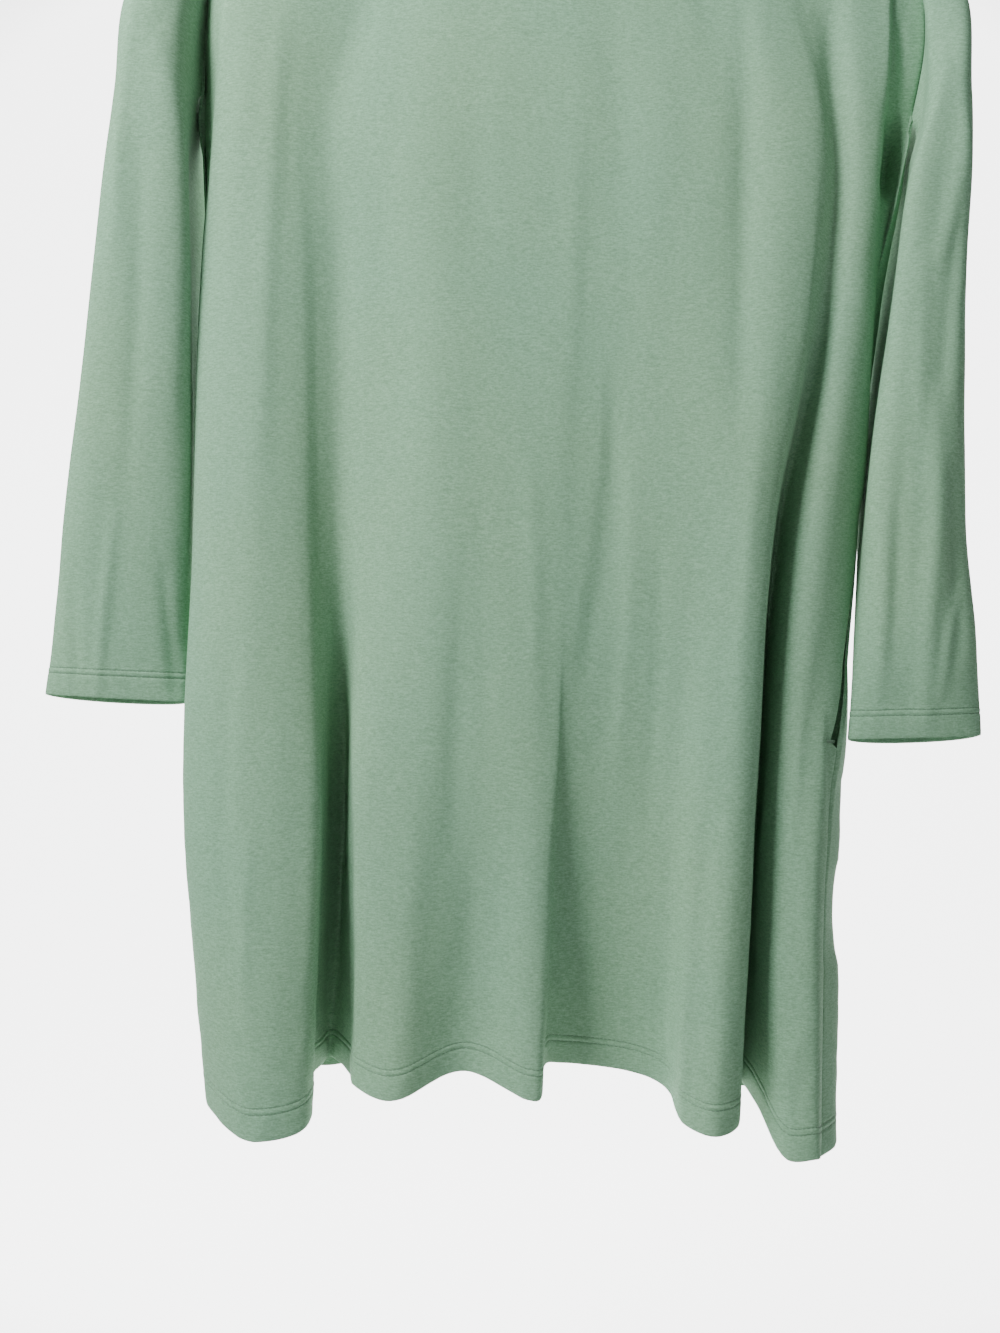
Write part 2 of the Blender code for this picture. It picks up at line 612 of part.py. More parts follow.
def bar_top(across):
    """Height of the hanger's upper edge: shoulders, a notch beside the neck, then the hump."""
    away = abs(across)
    slope = (SHOULDER_HEIGHT - NECK_HEIGHT) / (SHOULDER_HALF - NECK_HALF)
    foot = NECK_HEIGHT + slope * (max(away, NOTCH_OUTER) - NECK_HALF) - BAR_TOP_BELOW_SEAM
    share = (HUMP_HALF_WIDTH - away) / (HUMP_HALF_WIDTH - HUMP_FLAT)
    share = min(1.0, max(0.0, share))
    return foot + (HUMP_TOP - foot) * (3 * share**2 - 2 * share**3)


def make_hanger():
    """A slim wooden bar that follows the shoulders, with a bored hole for the hook."""
    stations = np.linspace(-BAR_HALF_LENGTH, BAR_HALF_LENGTH, BAR_STATIONS)
    radius = BAR_HALF_THICKNESS
    arc = np.linspace(0, math.pi, BAR_ARC_POINTS)
    points = []
    for across in stations:
        away = abs(across) / BAR_HALF_LENGTH
        tall = BAR_MIDDLE_HEIGHT + (BAR_TIP_HEIGHT - BAR_MIDDLE_HEIGHT) * away
        top = bar_top(across)
        for angle in arc:
            points.append((across, radius * math.cos(angle), top - radius + radius * math.sin(angle)))
        for angle in arc:
            height = top - tall + radius - radius * math.sin(angle)
            points.append((across, -radius * math.cos(angle), height))
    ring = 2 * BAR_ARC_POINTS
    faces = []
    for station in range(BAR_STATIONS - 1):
        for k in range(ring):
            a = station * ring + k
            b = station * ring + (k + 1) % ring
            faces.append([a, b, b + ring, a + ring])
    last = (BAR_STATIONS - 1) * ring
    faces.append(list(range(ring))[::-1])
    faces.append([last + k for k in range(ring)])
    wood = make_material("hanger_wood", BEECH, 0.45)
    hanger = mesh_object("hanger", points, faces, wood)
    hanger.data.set_sharp_from_angle(angle=math.radians(BAR_SHARP_DEGREES))
    depth = HOOK_HOLE_DEPTH + CUT_CLEARANCE
    bpy.ops.mesh.primitive_cylinder_add(
        vertices=HOOK_HOLE_SIDES,
        radius=WIRE_RADIUS + FIT_GAP,
        depth=depth,
        location=(0, 0, HUMP_TOP - HOOK_HOLE_DEPTH + depth / 2),
    )
    cutter = bpy.context.object
    cutter.name = "hook_hole_cutter"
    cutter.hide_render = True
    cutter.display_type = "WIRE"
    cut = hanger.modifiers.new("hook_hole", "BOOLEAN")
    cut.operation = "DIFFERENCE"
    cut.object = cutter


def make_hook():
    """One bent wire: a stem in the hanger's hole, a short bend and most of a circle."""
    radius = HOOK_INNER_RADIUS + WIRE_RADIUS
    centre = -HOOK_INNER_RADIUS
    angles = np.radians(np.linspace(HOOK_START_DEGREES, HOOK_END_DEGREES, HOOK_ARC_POINTS))
    arc = [(radius * math.cos(a), centre + radius * math.sin(a)) for a in angles]
    foot = HUMP_TOP - HOOK_HOLE_DEPTH + FIT_GAP
    stem = [(0.0, foot), (0.0, HUMP_TOP), (0.0, HOOK_STEM_TOP)]
    aside, up = HOOK_BEND
    bend = [(aside * arc[0][0], HOOK_STEM_TOP + up * (arc[0][1] - HOOK_STEM_TOP))]
    curve = bpy.data.curves.new("hanger_hook", "CURVE")
    curve.dimensions = "3D"
    curve.bevel_depth = WIRE_RADIUS
    curve.bevel_resolution = WIRE_SMOOTHNESS
    curve.use_fill_caps = True
    route = stem + bend + arc
    spline = curve.splines.new("POLY")
    spline.points.add(len(route) - 1)
    for point, (across, height) in zip(spline.points, route):
        point.co = (across, 0.0, height, 1.0)
    curve.materials.append(make_material("hook_wire", STEEL, 0.3, 1.0))
    hook = bpy.data.objects.new("hanger_hook", curve)
    bpy.context.scene.collection.objects.link(hook)


def main():
    clear_scene()
    panels = make_dress_cloth()
    make_neckband()
    for name in ("right", "left"):
        make_pocket_bag(name, panels)
    make_hanger()
    make_hook()


main()
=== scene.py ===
"""The finished look of a long-sleeved jersey swing dress on a slim wooden hanger.

Lengths in the tables are millimetres in the model's own frame: the origin is the inner top of
the hook, +Z is up and the dress faces -Y. Right and left are the wearer's.
"""
import math

import bpy
import numpy as np
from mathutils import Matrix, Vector, noise


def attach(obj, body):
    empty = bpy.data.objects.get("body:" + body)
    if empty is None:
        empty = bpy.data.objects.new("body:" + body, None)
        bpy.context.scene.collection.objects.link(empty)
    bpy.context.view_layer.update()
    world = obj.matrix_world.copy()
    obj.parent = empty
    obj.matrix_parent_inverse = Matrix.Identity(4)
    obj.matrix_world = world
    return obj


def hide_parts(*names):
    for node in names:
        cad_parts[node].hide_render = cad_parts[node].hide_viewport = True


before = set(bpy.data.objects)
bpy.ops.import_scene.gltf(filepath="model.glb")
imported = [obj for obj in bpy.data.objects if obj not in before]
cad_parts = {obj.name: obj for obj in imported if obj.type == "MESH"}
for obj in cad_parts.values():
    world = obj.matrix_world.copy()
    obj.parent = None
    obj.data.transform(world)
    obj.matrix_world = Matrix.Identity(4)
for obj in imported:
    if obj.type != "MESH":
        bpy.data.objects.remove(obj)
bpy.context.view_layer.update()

MM = 0.001

# Cloth
WALL = 1.0
HEM_WITHIN = 1.5
HEM_DEPTH = 24.0
NEEDLE_LINES = (17.4, 21.8)
FRONT_COLUMN = 4.2
BACK_COLUMN = 5.5
ROLL_ROWS = 5
BODY_ROWS = 174
SLEEVE_ROWS, SLEEVE_STRANDS = 120, 92
SLEEVE_SPREAD = 1.1
RING_POINTS = 721
EDGE_STEPS = (0.9, 2.0, 3.6)
HEM_ROWS = (23.2, 22.5, 22.15, 21.8, 21.45, 21.1, 20.3, 19.2, 18.2, 17.75, 17.4, 17.05, 16.6, 15.4,
            13.0, 10.5, 8.0, 5.5, 3.2, 1.6, 0.7, 0.0)
# Closer columns from each of these folds to the next one, where the cloth turns sharply.
FINE_STEPS = {
    "right_seam": 2.2, "right_side_turn": 2.8,
    "right_lobe": 2.6, "right_lobe_edge": 1.8, "first_valley_wall": 2.6, "first_valley": 2.0,
    "second_ridge": 2.6, "second_ridge_edge": 1.8,
    "third_ridge": 2.6, "third_ridge_edge": 1.6, "fourth_valley_wall": 2.2, "fourth_valley": 2.6,
    "left_lobe": 1.6, "left_lobe_side": 1.5,
}
# How far a hem stands out, where and how steeply, and its rounded fold
HEM_PROUD, HEM_STEP, HEM_STEEPNESS = 0.35, 1.0, 2.5
LIP_DEPTH, LIP_WIDTH = 0.3, 1.2
DOUBLE_STEP, DOUBLE_STEEPNESS = 0.5, 3
FOLD_THINNING, FOLD_WIDTH = 0.6, 1.0
NEEDLE_GROOVE, NEEDLE_GROOVE_WIDTH = 0.6, 0.7
SEAM_GROOVE, SEAM_GROOVE_WIDTH = 0.75, 1.5
STITCH_PITCH = 3.1
STITCH_LENGTH = 2.3
THREAD_RADIUS = 0.30
THREAD_PROUD = 0.3 * THREAD_RADIUS

SAGE = (0.246, 0.438, 0.278)
# The thread's green is about half as bright as the cloth's. This is partly the thread's own colour
# and partly painted shade of the grooves its stitches lie in.
THREAD_GREEN_AND_SHADE = (0.120, 0.215, 0.135)

# Shoulders and neck
NECK_HALF, NECK_HEIGHT = 90.0, -88.0
SHOULDER_HALF, SHOULDER_HEIGHT = 210.0, -130.0
FRONT_NECK = {"drop": 85.0, "depth": 18.0}
BACK_NECK = {"drop": 22.0, "depth": 16.0}
ROLL_RADIUS = 5.9
BEND_DROP = ROLL_RADIUS * (1 - math.sqrt(0.5))
NECK_SHARES = (0.27, 0.73)
NECK_CURVE = 1.2
NECK_ROUNDNESS = 0.5
BAND_HEIGHT, BAND_WALL, BAND_LEAN, BAND_LIFT, BAND_GAP = 18.0, 1.8, 1.1, 0.7, 0.4
BAND_STRANDS, BAND_ROWS, BAND_TOP_ROWS = 300, 14, (1.2, 0.5, 0)
# The band's folded top: its start, its length, its least thickness and how far it turns in
BAND_TOP, BAND_TOP_LENGTH, BAND_TOP_LEAST, BAND_TOP_TURN = 1.3, 1.4, 0.1, 0.4

UNDERARM = {"right": -285.0, "left": -310.0}
LEVEL_SHARES = (0.0, 0.174, 0.431, 0.707, 1.0)
BODY_LENGTH = 740.0
CHEST_LENGTH = 170.0

# Folds from the right side seam to the left one.
# Columns: name, across and depth at the underarm, waist, hip, thigh and hem, height at the hem.
FRONT_FOLDS = (
    ("right_seam", (-259, 5), (-256, 12), (-257, 14), (-260, 14), (-250, 12), -1043),
    ("right_side_turn", (-244, -14), (-257, -8), (-262, -8), (-270, -10), (-251, -14), -1043),
    ("right_lobe", (-209, -24), (-213, -30), (-215, -38), (-215, -50), (-206, -64), -1057),
    ("right_lobe_edge", (-184, -20), (-180, -24), (-176, -30), (-166, -40), (-170, -46), -1047),
    ("first_valley_wall", (-170, -17), (-168, -19), (-166, -19), (-164, -18), (-175, -14), -1028),
    ("first_valley", (-157, -15), (-155, -16), (-155, -12), (-153, 0), (-166, 6), -1022),
    ("first_valley_rise", (-128, -20), (-127, -22), (-127, -26), (-139, -37), (-141, -32), -1025),
    ("first_ridge", (-88, -26), (-87, -32), (-87, -42), (-97, -53), (-110, -60), -1029),
    ("second_valley", (-47, -26), (-43, -32), (-43, -42), (-47, -49), (-57, -40), -1014),
    ("second_ridge", (-7, -26), (-7, -32), (-9, -42), (-7, -53), (-13, -61), -1028),
    ("second_ridge_edge", (23, -26), (20, -32), (11, -40), (8, -48), (-3, -54), -1027),
    ("third_valley_wall", (36, -25), (33, -30), (24, -38), (10, -43), (-1, -28), -1014.5),
    ("third_valley", (50, -24), (50, -30), (45, -36), (31, -38), (15, -16), -1016),
    ("third_valley_floor", (78, -26), (78, -32), (76, -38), (60, -38), (64, -20), -1021),
    ("third_valley_rise", (115, -26), (114, -34), (112, -42), (93, -42), (91, -34), -1030.5),
    ("third_ridge_fold", (146, -25), (143, -34), (137, -48), (111, -54), (97, -58), -1045),
    ("third_ridge", (178, -28), (175, -38), (151, -50), (135, -61), (119, -72), -1050),
    ("third_ridge_edge", (203, -24), (196, -32), (165, -42), (151, -50), (137, -56), -1047),
    ("fourth_valley_wall", (212, -18), (204, -24), (171, -25), (154, -28), (140, -25), -1037),
    ("fourth_valley", (220, -14), (213, -15), (179, -7), (164, -4), (151, 2), -1036),
    ("left_lobe_rise", (234, -18), (226, -22), (187, -24), (165, -28), (157, -25), -1043),
    ("left_lobe", (252, -14), (240, -18), (209, -28), (178, -41), (173, -56), -1072.5),
    ("left_lobe_side", (261, -8), (247, -8), (228, -14), (197, -43), (193, -57), -1072),
    ("left_seam", (279, -2), (251, 3), (238, 0), (210, -30), (200, -44), -1075),
)
BACK_FOLDS = (
    FRONT_FOLDS[0],
    ("right_back_turn", (-259, 25), (-261, 30), (-257, 32), (-248, 34), (-240, 34), -1044),
    ("sixth_ridge", (-182, 28), (-186, 34), (-192, 44), (-200, 52), (-204, 58), -1041),
    ("fifth_valley", (-150, 28), (-154, 31), (-160, 32), (-164, 26), (-162, 18), -1028),
    ("fifth_ridge", (-112, 30), (-114, 36), (-116, 50), (-118, 62), (-122, 70), -1033),
    ("fourth_valley", (-62, 30), (-66, 34), (-70, 42), (-76, 40), (-80, 34), -1025),
    ("fourth_ridge", (-20, 31), (-22, 38), (-26, 50), (-32, 60), (-38, 66), -1029),
    ("third_valley", (25, 30), (20, 33), (14, 34), (8, 26), (2, 14), -1021),
    ("third_ridge", (75, 31), (68, 38), (60, 50), (54, 64), (50, 71), -1033),
    ("second_valley", (122, 30), (114, 34), (104, 36), (96, 30), (92, 22), -1031),
    ("second_ridge", (160, 29), (152, 35), (142, 44), (132, 52), (126, 58), -1043),
    ("first_valley", (200, 27), (188, 30), (174, 34), (160, 32), (152, 26), -1046),
    ("first_ridge", (238, 25), (224, 29), (208, 36), (192, 44), (184, 52), -1058),
    ("left_back_turn", (268, 22), (256, 30), (236, 30), (223, 16), (212, 14), -1068),
    ("left_side_turn", (278.5, 11), (262, 20), (239, 17), (223, -8), (217, -22), -1073),
    FRONT_FOLDS[-1],
)
# The armholes at two heights below the shoulder: across, depth in front and behind, height.
ARMHOLES = {
    "right": ((-246, -8, 11, -178), (-258, -5, 12, -232)),
    "left": ((275, -9, 8, -181), (289, -7, 13, -240)),
}
# Rings from the sleeve's cap to its cuff. Columns: outer fold across and height, inner fold across
# and height, half depth, depth of the middle, how much lower the back hangs, the power of the
# ring's outline, and how far its inner side reaches round the body in front and behind.
SLEEVE_RINGS = {
    "right": (
        ((-273, -167), (-264, -292), 28, 2, 0, 2.2, (0, 0)),
        ((-308, -206), (-266, -312), 44, 6, 0, 2.6, (9, 6)),
        ((-321, -285), (-271, -350), 48, 12, 0, 3.2, (18, 15)),
        ((-336, -410), (-271.5, -420), 46, 14, 0, 3.4, (20, 17)),
        ((-364, -609), (-268.5, -609), 33, 12, 0, 3.0, (12, 6)),
        ((-377, -741), (-270, -747), 9, 0, 4, 2.2, (0, 0)),
    ),
    "left": (
        ((284, -168), (285, -318), 27, 0, 0, 2.2, (0, 0)),
        ((312, -206), (281, -334), 42, 4, 0, 2.6, (8, 6)),
        ((318, -290), (278, -366), 50, 8, 0, 3.0, (20, 14)),
        ((315, -420), (271, -426), 47, 8, 0, 3.2, (22, 16)),
        ((316, -609), (244.5, -609), 40, 2, 0, 3.0, (18, 2)),
        ((322, -700), (233, -702), 22, -15, 0, 2.6, (4, 0)),
        ((325, -771), (227, -774), 10, -18, 5, 2.2, (0, 0)),
    ),
}

# Side seams, pocket mouths and bags
SEAM_SPAN = 32.0
SEAM_SHIFTS = {
    "right": ((-285, 0), (-1043, 0)),
    "left": ((-310, 0), (-600, 0), (-776, 5), (-900, 1), (-1075, 0)),
}
MOUTH_TOP, MOUTH_BOTTOM = -622.0, -776.0
MOUTH_WIDTH = {"right": 0.0, "left": 9.0}
# Columns: height, then across and depth of a bag's line near the seam, halfway and at its end.
BAG_LINES = {
    "left": (
        (-606, (226, 8), (190, 14), (112, 14)),
        (-700, (208, 3), (180, 17), (108, 16)),
        (-776, (204, -4), (176, 18), (104, 16)),
        (-858, (200, -6), (173, 18), (100, 17)),
    ),
    "right": (
        (-606, (-240, 12), (-205, 14), (-125, 17)),
        (-700, (-242, 12), (-205, 15), (-125, 19)),
        (-776, (-243, 12), (-205, 15), (-125, 20)),
        (-858, (-243, 12), (-205, 15), (-125, 20)),
    ),
}
BAG_ROWS, BAG_COLUMNS = 56, 34
BAG_GAP, BAG_ALLOWANCE, BAG_HALF, BAG_THINNEST, BAG_WITHIN = 0.4, 4, 1.1, 0.8, 0.3
# The least share of a bag's width, and the start, span and power of its rounding
BAG_NARROWEST, BAG_ROUNDING = 0.42, (0.12 * math.pi, 0.78 * math.pi, 0.8)
# The bar tack's ends across the mouth, its number of stitches, their half length and shift aside.
TACK_ENDS, TACK_COUNT, TACK_HALF, TACK_ASIDE = (-6, 2.5), 15, 1.1, 0.2

# Places where the cloth is pushed bodily. Columns: which panels, how far it is pushed across and
# in depth, the half width, and the places along it as across and height.
PUSHES = (
    (("front",), (0, 6), 8.0,
     ((-153, -700), (-154, -820), (-156, -920), (-160, -1000), (-165, -1070))),
    (("front",), (0, 6), 8.0, ((-149, -862), (-149, -930), (-151, -1000), (-155, -1060))),
    (("front",), (0, 9), 6.0, ((182, -560), (170, -700), (161, -850), (156, -950), (151, -1075))),
    (("front",), (0, 4), 9.0, ((219, -190), (217, -300), (212, -410))),
    (("front",), (5, 0), 14.0, ((250, -430), (248, -500), (244, -550), (240, -600))),
    (("front", "back"), (-5, 0), 13.0, ((224, -866), (223, -905), (221, -940))),
    (("front", "back"), (4, 0), 16.0, ((232, -722), (229, -765), (225, -805))),
    (("back",), (-3, 0), 9.0, ((-257, -284), (-260, -303), (-261, -322))),
    (("front", "back"), (0, 22), 7.0, ((264, -304), (265, -332), (259, -364))),
    (("front",), (0, 14), 7.0, ((-258, -140), (-260, -225), (-262, -290))),
)

# Folds with a sharp edge. Columns: panel, which side lies behind (1 is the wearer's left), how far
# the cloth stands out before the edge and falls back behind it, the width of each, how far the
# fold fades in at its top and out at its foot, and the places along it as across and height.
SHARP_FOLDS = (
    ("front", 1, 2.2, 8.0, 8, 8, 200, 40,
     ((-161, -640), (-163.9, -838), (-166.8, -925), (-169, -1007), (-171, -1110))),
    ("front", -1, 3.4, 11.0, 24, 15, 150, 60,
     ((-145, -690), (-140, -800), (-138.5, -880), (-139, -960), (-142, -1030), (-147, -1110))),
    ("front", 1, 1.2, 1.4, 12, 18, 120, 40,
     ((14, -720), (10.5, -780), (4.8, -851), (2, -930), (-0.2, -1004), (-2, -1110))),
    ("front", 1, 1.2, 4.5, 12, 14, 200, 40,
     ((205, -330), (202, -382), (196, -450), (189, -524), (179, -575), (169, -628), (161.5, -676),
      (155.7, -780), (151, -851), (144, -960), (139, -1040), (136, -1110))),
    ("front", -1, 0.8, 3.5, 12, 10, 120, 40,
     ((190, -620), (181, -675), (172.4, -744), (166, -780), (162, -814), (159, -884), (157, -964),
      (154, -1030), (152, -1110))),
    ("front", 1, 1.2, 3.6, 9, 34, 40, 60,
     ((262, -180), (260.6, -222), (259, -267), (256.8, -311), (253.9, -356), (250.1, -430))),
    ("front", -1, 1.2, 3.6, 9, 30, 40, 60,
     ((-235, -180), (-237.2, -222), (-240.9, -255), (-244.7, -295), (-247.7, -338), (-253, -410))),
    ("front", 1, 0.5, 2.8, 6, 9, 20, 90, ((205.5, -752), (206, -800), (206, -870))),
    ("front", 1, 0.5, 0.9, 14, 18, 80, 120, ((46, -480), (44, -560), (32, -660), (22, -760))),
    ("front", -1, 0.6, 1.4, 10, 16, 120, 60, ((103, -880), (98, -960), (96, -1110))),
    ("back", 1, 0.8, 3.5, 12, 14, 200, 40,
     ((-106, -620), (-110, -820), (-116, -950), (-120, -1110))),
    ("back", -1, 0.8, 3.5, 12, 14, 160, 40, ((46, -560), (40, -760), (36, -900), (32, -1110))),
    ("back", 1, 0.8, 3.0, 12, 14, 160, 40, ((148, -520), (140, -700), (134, -880), (130, -1110))),
)

# Small creases by piece. Columns: how far each stands out (less than 0 is a trough), its half
# width, and the places along it as across and height.
CREASES = {
    "front": (
        (2.6, 2.8, ((-152, -872), (-151, -900), (-152, -942))),
        (-2.2, 8.0, ((148, -180), (149, -300), (146, -420), (140, -540))),
        (-0.8, 7.0, ((50, -500), (51, -612), (30, -708), (20, -760))),
        (2.2, 4.5, ((101, -930), (97, -985), (95, -1032))),
        (-1.6, 8.0, ((-60, -640), (-64, -760), (-66, -880))),
        (1.4, 7.0, ((-196, -250), (-204, -420), (-206, -560))),
        (-1.6, 6.0, ((-228, -700), (-232, -820), (-228, -930))),
        (1.4, 4.0, ((-212, -840), (-216, -910), (-214, -990))),
        (-1.1, 3.5, ((-222, -985), (-208, -1006), (-196, -1034))),
        (1.0, 3.5, ((-232, -960), (-222, -1000), (-212, -1040))),
        (1.4, 5.0, ((196, -690), (186, -770), (180, -860))),
        (-1.2, 5.0, ((118, -820), (112, -900), (110, -960))),
        (1.1, 7.0, ((-12, -560), (-8, -660), (-8, -760))),
        (-1.2, 6.0, ((84, -620), (82, -720), (74, -840))),
        (1.2, 6.0, ((64, -560), (62, -680), (52, -800))),
        (-1.3, 7.0, ((-30, -860), (-34, -940), (-38, -1010))),
        (-1.6, 4.0, ((264, -226), (270, -252), (273, -286))),
        (1.2, 3.5, ((268, -214), (264, -250), (264, -286))),
        (1.0, 3.0, ((190, -980), (176, -1000), (168, -1030))),
        (-1.0, 3.0, ((196, -1000), (184, -1020), (176, -1046))),
    ),
    "back": (
        (-1.6, 8.0, ((-96, -420), (-92, -560), (-98, -700))),
        (1.6, 6.0, ((36, -640), (30, -760), (28, -870))),
        (-1.4, 9.0, ((140, -300), (128, -430), (122, -560))),
        (1.4, 5.0, ((-210, -600), (-222, -720), (-226, -820))),
        (1.8, 5.0, ((98, -900), (104, -960), (102, -1020))),
        (-1.8, 7.0, ((-40, -240), (-44, -380), (-40, -520))),
        (1.6, 6.0, ((10, -300), (6, -420), (8, -560))),
        (-1.6, 5.0, ((-150, -880), (-156, -950), (-152, -1010))),
        (-1.6, 6.0, ((190, -360), (182, -500), (176, -640))),
        (1.3, 4.0, ((64, -820), (72, -900), (70, -980))),
    ),
    "right": (
        (-2.4, 5.0, ((-284, -640), (-281, -690), (-277, -745))),
        (1.8, 6.0, ((-325, -300), (-334, -430), (-345, -560))),
        (-1.8, 7.0, ((-296, -330), (-300, -470), (-310, -590))),
        (1.9, 4.0, ((-318, -600), (-330, -690), (-336, -745))),
        (-1.6, 5.0, ((-350, -640), (-352, -700), (-350, -742))),
        (1.6, 5.0, ((-300, -230), (-312, -330), (-316, -420))),
    ),
    "left": (
        (4.0, 8.0, ((284, -520), (286, -600), (280, -690), (281, -768))),
        (-3.6, 7.5, ((300, -570), (304, -640), (300, -720))),
        (2.2, 5.0, ((306, -660), (296, -700), (290, -745))),
        (-2.0, 6.0, ((262, -560), (258, -640), (256, -720))),
        (1.8, 5.0, ((250, -600), (248, -680), (246, -745))),
        (2.4, 6.0, ((306, -330), (298, -380), (288, -430))),
        (-2.0, 6.0, ((300, -400), (294, -470), (290, -520))),
        (1.8, 6.0, ((276, -420), (274, -500), (272, -560))),
        (2.0, 5.0, ((304, -300), (308, -360), (306, -450))),
    ),
}

# Slow unevenness of the panels. Columns: its strength everywhere, what the lower half and the
# hem add, its size, its seed after the panel's own, and how fine it is down the cloth.
DRIFT_DOWN = 0.32
PANEL_SEEDS = {"front": 3.0, "back": 40.0}
BODY_DRIFT = (
    (1.0, 0, 0, 55.0, 0, DRIFT_DOWN),
    (0.7, 0.7, 0, 24.0, 5, 0.22),
    (0, 0.5, 0, 9.0, 11, 0.6),
    (0, 0, 0.5, 13.0, 17, DRIFT_DOWN),
)
# The same for the sleeves. Columns: strength, size and seed.
SLEEVE_DRIFT = ((1.0, 40.0, 80.0), (0.5, 18.0, 90.0))

# Creases fade out where the cloth turns sideways and by its sides. Unevenness fades out by the
# sides and upwards, and grows lower down and by the hem.
FACING = 1.6
CREASE_SIDE, SETTLE_SIDE, SLEEVE_SETTLE = 6, 25, 80
SETTLE_START, SETTLE_LENGTH = 60, 120
LOWER_START, LOWER_LENGTH = 500, 350
PUCKER_HEIGHT, PUCKER_WIDTH = 12, 14

# How quickly a sharp fold turns over and the share it has turned at its edge, how strongly a path
# is felt at its ends, and how many points it is drawn through.
EDGE_WIDTH, EDGE_START = 3.5, 0.3
END_STRENGTH = 0.15
PATH_POINTS = 12

# Studio. The floor is in millimetres, lamps and camera are in metres.
FLOOR_HEIGHT, FLOOR_FRONT, FLOOR_HALF = -1620.0, -7000.0, 6000.0
BEND_START, BEND_RADIUS, BEND_STEPS = 1200.0, 1200.0, 12
WALL_TOP = 2400.0
FLOOR_COLOUR = (0.86, 0.86, 0.865)
# The floor glows round a place behind the dress, fully within 2 m and less and less up to 2.8 m.
GLOW_CENTRE = (0, 2.4, -0.6)
GLOW = {"From Min": 2.0, "From Max": 2.8, "To Min": 4.2, "To Max": 0}
# Columns: name, place, what it is aimed at, watts and size.
LAMPS = (
    ("key", (-1.05, -0.95, 0.8), (-0.06, 0, -0.22), 58, 0.5),
    ("side", (-1.55, -0.7, 0.1), (-0.2, 0, -0.5), 13, 0.5),
    ("second", (1.2, -0.95, 0.5), (0, 0, -0.3), 4, 0.9),
)
LAMP_COLOUR = (0.975, 1.0, 1.02)
WORLD_STRENGTH = 0.10
CAMERA_PLACE, CAMERA_LENS, CAMERA_SENSOR = (-0.0324, -0.956, -0.720), 34, 36


def limited(share):
    return np.clip(share, 0, 1)


def ease(share):
    share = limited(share)
    return share * share * (3 - 2 * share)


def bell(distance, width):
    """1 at no distance, falling off to next to nothing at twice the width."""
    return np.exp(-((distance / width) ** 2))


def smooth_through(knots, values, at):
    """The values at the places asked for, on a smooth curve through the knots."""
    knots, values, at = (np.asarray(part, float) for part in (knots, values, at))
    slopes = np.gradient(values, knots, axis=0)
    low = np.clip(np.searchsorted(knots, at, side="right") - 1, 0, len(knots) - 2)
    width = knots[low + 1] - knots[low]
    t = (at - knots[low]) / width
    trailing = (slice(None),) + (None,) * (values.ndim - 1)
    t, width = t[trailing], width[trailing]
    return (
        (2 * t**3 - 3 * t**2 + 1) * values[low]
        + (t**3 - 2 * t**2 + t) * width * slopes[low]
        + (3 * t**2 - 2 * t**3) * values[low + 1]
        + (t**3 - t**2) * width * slopes[low + 1]
    )


def unit(vectors):
    return vectors / np.maximum(np.linalg.norm(vectors, axis=-1, keepdims=True), 1e-12)


def steps_of(points):
    return np.linalg.norm(np.diff(points, axis=0), axis=-1)


def lengths_of(line):
    """How far along a line each of its points lies."""
    return np.concatenate([[0], np.cumsum(steps_of(line))])


def at_lengths(line, lengths, wanted):
    return np.stack([np.interp(wanted, lengths, line[:, axis]) for axis in range(3)], axis=1)


def fold_points(table):
    """Each fold's points at the levels: an array of folds, levels and xyz."""
    flat = np.array([row[1:-1] for row in table], float)
    hem_heights = np.array([row[-1] for row in table], float)
    across = np.linspace(0.0, 1.0, len(table))
    top = UNDERARM["right"] + across * (UNDERARM["left"] - UNDERARM["right"])
    heights = top[:, None] + (hem_heights - top)[:, None] * np.array(LEVEL_SHARES)
    return np.dstack([flat, heights])


def column_places(table, folds, step):
    """The folds' shares of the width, and the shares of all columns, closer by the edges."""
    spacing = [FINE_STEPS.get(row[0], step) for row in table[:-1]]
    steps = steps_of(folds).mean(axis=1)
    shares = np.concatenate([[0.0], np.cumsum(steps)]) / steps.sum()
    columns = [0.0]
    for start, end, length, wanted in zip(shares[:-1], shares[1:], steps, spacing):
        count = math.ceil(length / wanted)
        columns.extend(start + (end - start) * (k + 1) / count for k in range(count))
    columns = np.array(columns)
    for share in NECK_SHARES:
        columns[int(np.argmin(np.abs(columns - share)))] = share
    close = np.array(EDGE_STEPS) / steps.sum()
    from_side = np.minimum(columns, 1 - columns)
    columns = columns[(from_side == 0) | (from_side > close[-1])]
    return shares, np.sort(np.concatenate([columns, close, 1 - close]))


def row_places():
    """How far down each row lies: close rows on the roll and the hem, even ones between."""
    roll = np.linspace(0, ROLL_RADIUS, ROLL_ROWS)
    total = CHEST_LENGTH + BODY_LENGTH
    body = np.linspace(ROLL_RADIUS, total - HEM_DEPTH, BODY_ROWS)[1:]
    hem = total - np.array(HEM_ROWS)
    return np.concatenate([roll, body, hem])


def roll_depth(drop):
    """How far out the cloth stands at a drop below the hanger's upper edge."""
    return np.sqrt(np.maximum(ROLL_RADIUS**2 - np.maximum(ROLL_RADIUS - drop, 0) ** 2, 0))


def neck_across(angle):
    return NECK_ROUNDNESS * np.cos(angle) + (1 - NECK_ROUNDNESS) * (1 - 2 * angle / math.pi)


